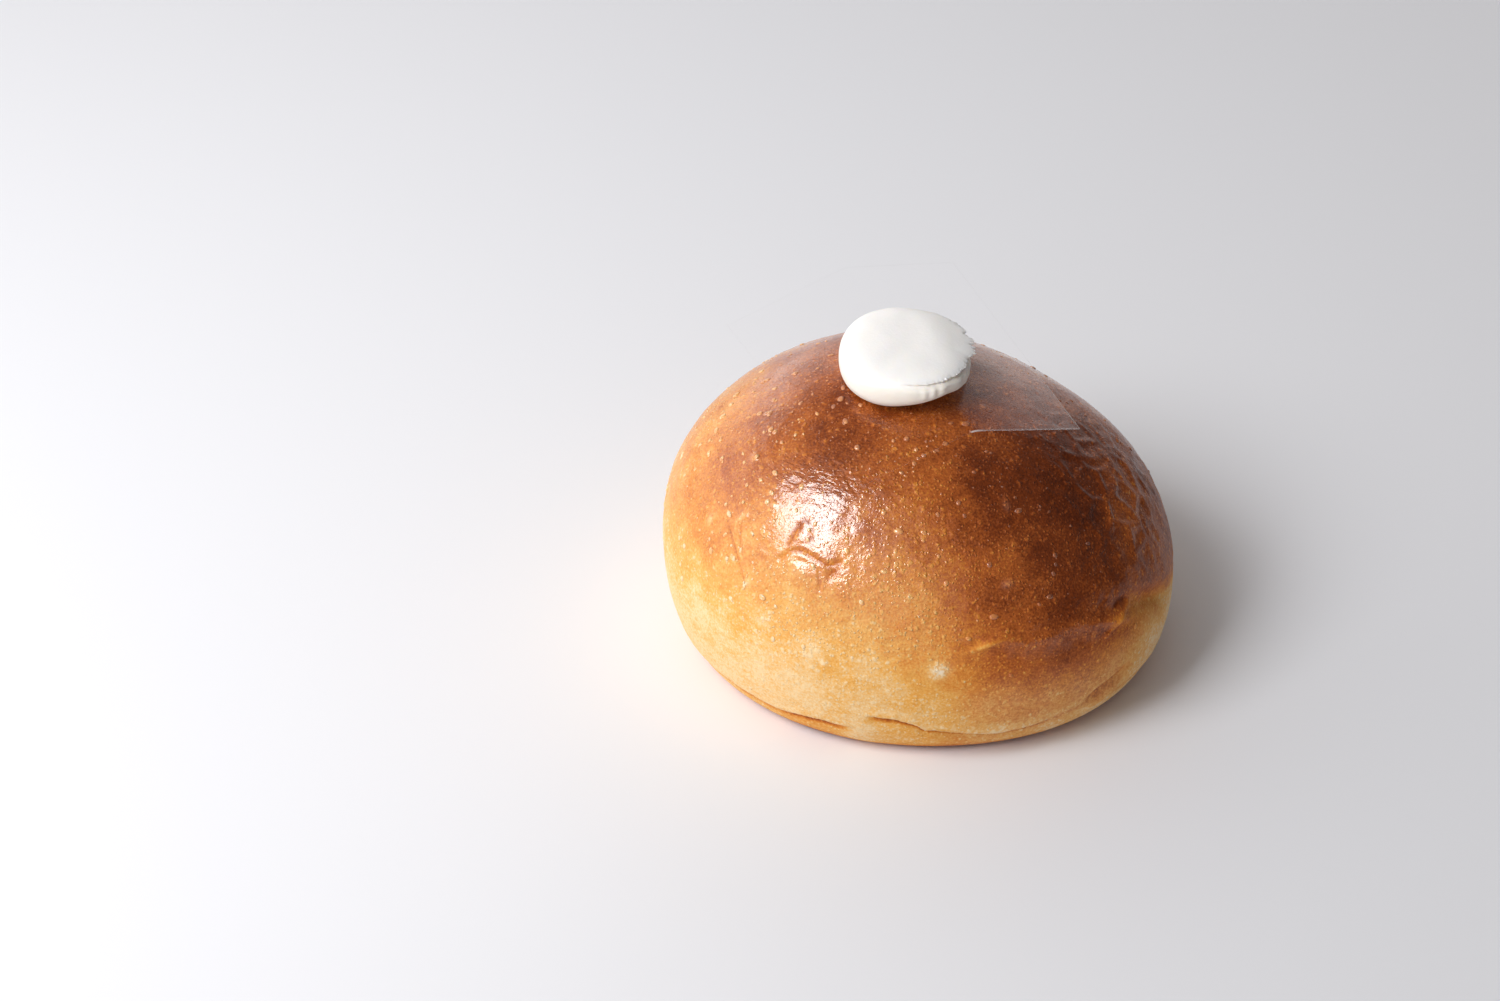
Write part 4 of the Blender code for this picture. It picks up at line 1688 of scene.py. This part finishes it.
    def build(self) -> bpy.types.Object:
        """Make the fine crust.

        Returns:
            The bun, with the attributes that its material reads.
        """
        carrier = mesh_object("ball_carrier", np.zeros((3, 3)), [(0, 1, 2)])
        bun = self.ball_tree().result_on(carrier, Piece.BUN.value, {"Cells": self.cells})
        bpy.data.objects.remove(carrier)
        cube = positions(bun) * MM
        even = np.tan(cube * math.pi / 4)
        ball = even / np.linalg.norm(even, axis=1, keepdims=True)
        even_angle = np.arctan2(ball[:, 1], ball[:, 0])
        angle = even_angle - self.front_fineness * np.sin(even_angle - math.radians(self.front))
        angle = (angle + math.pi) % (2 * math.pi) - math.pi
        share = np.arccos(np.clip(ball[:, 2], -1, 1)) / math.pi
        smooth = self.crust.points(angle, share)
        lift = self.lift(angle, smooth)
        set_positions(bun, smooth + self.crust.normals(smooth) * lift[:, None])
        bake = self.baking.degree(self.skin, self.seam, angle, smooth)
        pale = self.baking.paleness(self.skin, angle, smooth)
        # Marks and strokes add to the darkness: browning, and painted shade in the pocket and the hook-shaped
        # dent.
        for mark in self.marks:
            shape = self.mark_shape(mark, smooth)
            bake = bake + mark.bake * shape
            pale = pale + mark.pale * shape
        for stroke in self.strokes:
            bake = bake + stroke.bake * self.stroke_shape(stroke, smooth)
        set_values(bun, "bake", np.clip(bake, 0.0, 1.0))
        set_values(bun, "pale", np.clip(pale, 0.0, self.most_pale))
        set_values(bun, "glaze", self.glaze_share(angle, smooth))
        set_values(bun, "crinkle", self.shine.share(smooth))
        set_values(bun, "over", self.seam.above(angle, smooth))
        # The strength of the painted shade under the seam's lip, taken from the seam's depth.
        set_values(bun, "lip_shade", np.clip(self.seam.line(angle)[1], 0.0, 1.0))
        bun.data.shade_smooth()
        return bun

    def blisters(self, bun: bpy.types.Object, material: bpy.types.Material) -> bpy.types.Object:
        """Scatter the blisters and give them the crust's own bake under them.

        Args:
            bun: The finished crust.
            material: The blisters' material.

        Returns:
            The blisters as one mesh.
        """
        points = positions(bun)
        patchy = np.clip(self.blister_middle + self.blister_patches.at(points), *self.blister_limits)
        thick = self.blister_left.of(points[:, 0]) * self.blister_upper.of(points[:, 2]) * patchy
        share = np.clip(thick + self.blister_least, 0.0, 1.0)
        share = np.where(points[:, 2] < self.blister_lowest, 0.0, share)
        made = self.blistering.over(bun, share, material, Piece.BLISTERS.value)
        spots = positions(made)
        angle = np.arctan2(spots[:, 1], spots[:, 0])
        set_values(made, "bake", self.baking.degree(self.skin, self.seam, angle, spots))
        set_values(made, "pale", self.blister_paleness.of(spots[:, 0]))
        set_values(made, "glaze", self.glaze_share(angle, spots))
        return made


@dataclass
class Cream:
    """The pressed cap of whipped cream, with its lip, its fold, its pleats and its hollow seat."""

    film: FilmShape
    x: float = -3.95
    y: float = 2.55
    half_width: float = 12.2
    half_depth: float = 13.0
    top: float = 62.56
    top_waves: Waves = Waves(0.1, 4.5, 63)
    ridge_offset: float = 2.5
    ridge_radius: float = 2.5
    slope_left: float = 0.03
    slope_right: float = 0.13
    girth_share: float = 0.6
    girth_drop: float = 0.62
    fullness: float = 3.0
    noise_radius: float = 12.0
    skin_reach: tuple[tuple[float, float], ...] = (
        (-110.0, 0.0), (-85.0, 0.15), (-60.0, 0.4), (-35.0, 0.5), (-15.0, 0.6), (-9.0, 1.8), (4.0, 1.6),
        (22.0, 1.1), (46.0, 0.5), (75.0, 0.0))
    skin_share: float = 0.415
    skin_sway: Waves = Waves(0.007, 1.3, 64)
    skin_rise: Ease = Ease(0.26, 0.405)
    skin_cut: float = 0.006
    ragged: tuple[Waves, ...] = (Waves(0.3, 1.7, 61), Waves(0.6, 0.6, 62))
    ragged_from: Ease = Ease(0.34, 0.405)
    fold_angle: float = -42.0
    fold_spread: float = 46.0
    fold_depth: float = 0.6
    fold_cut: float = 0.007
    fold_end: Ease = Ease(0.56, 0.44)
    # Painted shade: a line along the fold under the lip, growing down the layer below it and on the seat.
    fold_shade_line: tuple[float, float] = (0.012, 0.014)
    foot_shade: Ease = Ease(0.01, 0.12, 0.0, 0.34)
    seat_shade: float = 0.4
    pleats: int = 31
    pleat_sway: Waves = Waves(3.0, 4.0, 65)
    pleat_depth: float = 0.1
    pleat_place: tuple[float, float] = (0.58, 0.09)
    tear: tuple[float, float] = (-25.0, 48.0)
    tear_share: float = 0.01
    seat_gap: float = 0.3
    seat_share: float = 0.8
    seat_radius: float = 0.87
    segments: int = 480
    stretches: tuple[tuple[float, int], ...] = (
        (0.0, 1), (0.32, 24), (0.385, 16), (0.485, 60), (0.75, 36), (1.0, 22))
    swells: tuple[Swell, ...] = (Swell(2, 0.025, -56.0), Swell(3, 0.015, -60.0), Swell(4, 0.03, -140.0))
    crumbling: Scatter = Scatter(3000000.0, 0.07, 0.27, 1.5, 0.7, 5)

    def pressed_top(self, x: np.ndarray, y: np.ndarray) -> np.ndarray:
        """Find the height of the pressed top, with its soft ridge beside the film's crease.

        Args:
            x: The x of each place.
            y: The y of each place.

        Returns:
            The heights, in millimetres.
        """
        side = self.film.beside_crease(x, y)[1] - self.ridge_offset
        slope = np.where(side > 0, self.slope_right, self.slope_left)
        return self.top - slope * (np.hypot(side, self.ridge_radius) - self.ridge_radius)

    def profile(self, share: np.ndarray) -> tuple[np.ndarray, np.ndarray]:
        """Follow the cap's profile from the top's middle over its girth to the seat's middle.

        Args:
            share: Shares of the way.

        Returns:
            The radius, as a share of the girth's, and the drop, as a share of the cap's height.
        """
        upper = np.clip(share / self.girth_share, 0, 1) * math.pi / 2
        lower = np.clip((share - self.girth_share) / (self.seat_share - self.girth_share), 0, 1) * math.pi / 2
        seat = np.clip((share - self.seat_share) / (1 - self.seat_share), 0, 1)
        dome = np.sin(upper) ** (2 / self.fullness)
        dome_drop = self.girth_drop * (1 - np.cos(upper) ** (2 / self.fullness))
        tuck = self.seat_radius + (1 - self.seat_radius) * np.cos(lower)
        tuck_drop = self.girth_drop + (1 - self.girth_drop) * np.sin(lower)
        under = np.where(share < self.seat_share, tuck, self.seat_radius * (1 - seat))
        above_girth = share < self.girth_share
        return np.where(above_girth, dome, under), np.where(above_girth, dome_drop, tuck_drop)

    def folded(self, degrees: np.ndarray) -> np.ndarray:
        """Find how much each direction belongs to the front, where the cap is folded."""
        return bell(degrees, self.fold_angle, self.fold_spread, 4)

    def place(self, angle: np.ndarray, share: np.ndarray) -> np.ndarray:
        """Place points of the cap.

        Args:
            angle: Directions round the cap, in radians.
            share: Shares of the way from the top's middle to the seat's middle.

        Returns:
            An n by 3 array, in millimetres.
        """
        middle_x, middle_y = self.film.crust.centre()
        degrees = np.degrees(angle)
        ring = np.stack([np.cos(angle), np.sin(angle), 0 * angle], axis=-1) * self.noise_radius
        edge = self.skin_share + self.skin_sway.at(ring)
        skin = self.skin_rise.of(share) * smooth_step(edge + self.skin_cut, edge, share)
        ragged = sum(waves.at(ring) for waves in self.ragged) * self.ragged_from.of(share)
        lip = np.interp(degrees, *zip(*self.skin_reach)) * (1 + ragged) * skin
        folded = self.folded(degrees)
        fold = folded * smooth_step(edge, edge + self.fold_cut, share) * self.fold_end.of(share)
        pleats = np.sin(self.pleats * angle + self.pleat_sway.at(ring))
        pleats = folded * pleats * bell(share, *self.pleat_place)
        shift = lip - self.fold_depth * fold + self.pleat_depth * pleats
        profile, drop = self.profile(share)
        radius = profile * swelling(self.swells, angle) + shift / self.half_width
        x = self.x - middle_x + self.half_width * radius * np.cos(angle)
        y = self.y - middle_y + self.half_depth * radius * np.sin(angle)
        seat = self.film.height(x, y) + self.seat_gap
        top = self.pressed_top(x, y) + self.top_waves.at(np.stack([x, y, 0 * x], axis=-1))
        return np.stack([x, y, top + (seat - top) * drop], axis=-1)

    def build(self, material: bpy.types.Material) -> tuple[bpy.types.Object, bpy.types.Object]:
        """Make the cap with its fold attribute, which carries painted shade, and the crumbs of its torn edge.

        Args:
            material: The cream's material.

        Returns:
            The cap and the crumbs.
        """
        steps = [np.linspace(a, b, count, endpoint=False) for (a, _), (b, count)
                 in zip(self.stretches, self.stretches[1:])]
        shares = np.concatenate(steps)[1:]
        cap = polar_object(Piece.CREAM.value, self.segments, shares, self.place)
        degrees = np.tile(np.linspace(-180, 180, self.segments, endpoint=False), len(shares))
        under = np.repeat(shares, self.segments) - self.skin_share
        # Painted shade along the fold under the lip, down the layer below it and on the seat.
        fold = self.folded(degrees) * bell(under, *self.fold_shade_line) + self.foot_shade.of(under)
        set_values(cap, "fold", np.append(np.clip(fold, 0, 1), [0.0, self.seat_shade]))
        torn = bell(degrees, *self.tear, 4) * bell(under, 0.0, self.tear_share)
        crumbs = self.crumbling.over(cap, np.append(torn, [0.0, 0.0]), material, Piece.CREAM_CRUMBS.value)
        set_values(crumbs, "fold", np.zeros(len(crumbs.data.vertices)))
        return cap, crumbs


@dataclass
class Film:
    """The creased sheet of clear film, a thin closed skin."""

    shape: FilmShape
    thickness: float = 0.15
    margin: float = 0.3
    steps_along: int = 96
    steps_across: int = 84
    # Painted highlight on the cut edge: strong at the front, faint at the back, with a painted glint at the
    # crease's front corner.
    front_edge_highlight: Ease = Ease(0.42, 0.28, 0.008, 0.2)
    back_edge_highlight: float = 0.008
    glint: float = 0.4
    glint_reach: tuple[float, float] = (0.02, 0.07)
    glint_from: float = -0.03
    left_mirror: float = 0.13
    right_mirror: Ease = Ease(0.0, 0.5, 0.28, 0.62)
    front_mirror: Ease = Ease(0.42, 0.28, 0.12, 1.0)

    def build(self, clear: bpy.types.Material, cut: bpy.types.Material) -> bpy.types.Object:
        """Make the film as a closed thin sheet.

        Args:
            clear: The material of its faces.
            cut: The material of its cut edges.

        Returns:
            The film object.
        """
        along = np.linspace(0, 1, self.steps_along)
        along[1] = self.margin / self.shape.length
        along[-2] = 1 - along[1]
        wide = np.linspace(-1, 1, self.steps_across)
        wide[-2] = 1 - self.margin / self.shape.right.front_width
        wide[1] = -wide[-2]
        run, across = (grid.ravel() for grid in np.meshgrid(along, wide, indexing="ij"))
        middle = self.shape.place(run, across)
        grid = middle.reshape(self.steps_along, self.steps_across, 3)
        normal = np.cross(np.gradient(grid, axis=1), np.gradient(grid, axis=0)).reshape(-1, 3)
        normal /= np.linalg.norm(normal, axis=1, keepdims=True)
        points = np.vstack([middle + normal * self.thickness / 2, middle - normal * self.thickness / 2])
        faces, dress = self.faces()
        film = mesh_object(Piece.FILM.value, points, faces)
        # Painted glint at the crease's front corner, on top of the edge's painted highlight.
        glint = self.glint * bell(run, 0.0, self.glint_reach[0]) * bell(across, 0.0, self.glint_reach[1])
        edge = np.where(across > self.glint_from, self.front_edge_highlight.of(run) + glint, self.back_edge_highlight)
        right_mirror = self.right_mirror.of(across) * self.front_mirror.of(run)
        set_values(film, "edge", np.tile(edge, 2))
        set_values(film, "mirror", np.tile(np.where(across > 0, right_mirror, self.left_mirror), 2))
        film.data.materials.append(clear)
        film.data.materials.append(cut)
        film.data.polygons.foreach_set("material_index", dress)
        return film

    def faces(self) -> tuple[list[tuple[int, ...]], list[int]]:
        """List the faces of the sheet's two skins and of its cut edge.

        Returns:
            Each face's corner numbers, and 1 for each face that the cut edge's material dresses.
        """
        count = self.steps_along * self.steps_across
        faces, dress = [], []
        for i in range(self.steps_along - 1):
            for j in range(self.steps_across - 1):
                a = i * self.steps_across + j
                b, c, d = a + 1, a + 1 + self.steps_across, a + self.steps_across
                faces.append((a, b, c, d))
                faces.append((d + count, c + count, b + count, a + count))
                outer = i in (0, self.steps_along - 2) or j in (0, self.steps_across - 2)
                dress += [int(outer), 0]
        rim = self.rim()
        for start, end in zip(rim, rim[1:] + rim[:1]):
            faces.append((end, start, start + count, end + count))
            dress.append(1)
        return faces, dress

    def rim(self) -> list[int]:
        """List the sheet's edge points in order round it.

        Returns:
            The points' numbers in the upper skin, from the front left corner.
        """
        wide, long = self.steps_across, self.steps_along
        front = list(range(wide - 1))
        right = [i * wide + wide - 1 for i in range(long - 1)]
        back = [(long - 1) * wide + j for j in range(wide - 1, 0, -1)]
        left = [i * wide for i in range(long - 1, 0, -1)]
        return front + right + back + left


@dataclass
class Sky(Wiring):
    """The world's nodes, which light the scene from all round."""

    tree: bpy.types.NodeTree
    directions: bpy.types.NodeSocket = field(init=False)

    def __post_init__(self) -> None:
        """Add the node that tells the directions."""
        self.directions = self.add("ShaderNodeTexCoord").outputs["Generated"]

    def facing(self, towards: Triple) -> bpy.types.NodeSocket:
        """Find how nearly each direction points one way."""
        node = self.add("ShaderNodeVectorMath", {0: self.directions, 1: towards}, operation="DOT_PRODUCT")
        return node.outputs["Value"]


@dataclass
class Studio:
    """A plain pale floor, one soft lamp, soft light all round and the photograph's camera."""

    camera_place: Triple = (-30.92, -519.54, 419.44)
    camera_elevation: float = 37.0
    lens: float = 85.0
    sensor: float = 36.0
    clip: tuple[float, float] = (0.01, 20.0)
    floor_size: float = 4.0
    floor_colour: Colour = (0.865, 0.875, 0.915)
    floor_roughness: float = 0.85
    floor_index: float = 1.2
    key_towards: Triple = (-0.59, -0.37, 0.70)
    key_distance: float = 0.82
    key_aim: Triple = (-0.31, 0.09, 0.0)
    key_size: float = 0.42
    key_spread: float = 115.0
    key_power: float = 2.55
    backdrop_towards: Triple = (-0.55, 0.83, 0.0)
    backdrop: Ease = Ease(-0.15, 0.95, 0.0, 1.45)
    low_down: Ease = Ease(0.38, 0.72, 1.0, 0.1)
    fill_towards: Triple = (-0.75, -0.63, 0.2)
    fill: Ease = Ease(0.2, 1.0, 0.0, 0.7)
    ambient: float = 0.07
    light_colour: Colour = (1.0, 0.965, 0.945)

    def floor(self) -> None:
        """Lay the floor."""
        half = self.floor_size / 2 / MM
        corners = np.array([(-half, -half, 0.0), (half, -half, 0.0), (half, half, 0.0), (-half, half, 0.0)])
        ground = mesh_object("floor", corners, [(0, 1, 2, 3)])
        shader = Shader("floor")
        shader.settle(Base_Color=(*self.floor_colour, 1.0), Roughness=self.floor_roughness,
                      IOR=self.floor_index)
        ground.data.materials.append(shader.material)

    def key(self) -> None:
        """Hang the soft lamp to the left of the bun."""
        data = bpy.data.lights.new("soft_key", "AREA")
        data.shape = "SQUARE"
        data.size = self.key_size
        data.spread = math.radians(self.key_spread)
        data.energy = self.key_power
        lamp = bpy.data.objects.new("soft_key", data)
        lamp.location = Vector(self.key_towards).normalized() * self.key_distance
        lamp.rotation_mode = "QUATERNION"
        lamp.rotation_quaternion = (Vector(self.key_aim) - lamp.location).to_track_quat("-Z", "Y")
        bpy.context.scene.collection.objects.link(lamp)

    def surroundings(self) -> None:
        """Light the scene softly from behind and from the front left."""
        world = bpy.data.worlds.new("studio")
        world.use_nodes = True
        bpy.context.scene.world = world
        sky = Sky(world.node_tree)
        height = sky.add("ShaderNodeSeparateXYZ", {"Vector": sky.directions}).outputs["Z"]
        behind = sky.product(sky.spread(sky.facing(self.backdrop_towards), self.backdrop),
                             sky.spread(height, self.low_down))
        beside = sky.spread(sky.facing(self.fill_towards), self.fill)
        light = sky.tree.nodes["Background"]
        sky.feed(light, "Strength", sky.total(behind, beside, self.ambient))
        sky.feed(light, "Color", (*self.light_colour, 1.0))

    def camera(self) -> None:
        """Set the camera at the photograph's angle."""
        data = bpy.data.cameras.new("camera")
        data.lens = self.lens
        data.sensor_width = self.sensor
        data.clip_start, data.clip_end = self.clip
        eye = bpy.data.objects.new("camera", data)
        eye.location = Vector(self.camera_place) * MM
        eye.rotation_euler = (math.radians(90.0 - self.camera_elevation), 0.0, 0.0)
        bpy.context.scene.collection.objects.link(eye)
        bpy.context.scene.camera = eye

    def build(self) -> None:
        """Set up floor, light and camera."""
        self.floor()
        self.key()
        self.surroundings()
        self.camera()
        bpy.context.scene.view_settings.view_transform = "Standard"


def attach(piece: bpy.types.Object, material: bpy.types.Material | None, slot: str, *nodes: str) -> None:
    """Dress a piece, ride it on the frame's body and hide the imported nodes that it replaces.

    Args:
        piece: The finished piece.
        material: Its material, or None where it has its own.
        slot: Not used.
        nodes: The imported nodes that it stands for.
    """
    if material:
        piece.data.materials.clear()
        piece.data.materials.append(material)
    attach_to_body(piece, "root")
    if nodes:
        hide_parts(*nodes)
    LOG.info("%s: %d faces", piece.name, len(piece.data.polygons))


def main() -> None:
    """Build the pieces in order, then the studio."""
    logging.basicConfig(level=logging.INFO)
    crust = CrustShape()
    film_shape = FilmShape(crust)
    grain = grain_group()
    crust_finish = CrustFinish()
    crust_material = crust_finish.material("baked_crust", grain, crust_finish.bake_group())
    bun_maker = Bun(crust, ShineWrinkles(crust))
    bun = bun_maker.build()
    blisters = bun_maker.blisters(bun, crust_material)
    attach(bun, crust_material, "bun", "bun")
    attach(blisters, crust_material, "bun")
    cream_material = CreamFinish().material("whipped_cream", grain)
    cap, crumbs = Cream(film_shape).build(cream_material)
    attach(cap, cream_material, "cream", "cream")
    attach(crumbs, cream_material, "cream")
    film_finish = FilmFinish()
    film = Film(film_shape).build(film_finish.material("clear_film"), film_finish.edge_highlight_material("film_edge_highlight"))
    attach(film, None, "film", "film")
    Studio().build()


if __name__ == "__main__":
    main()
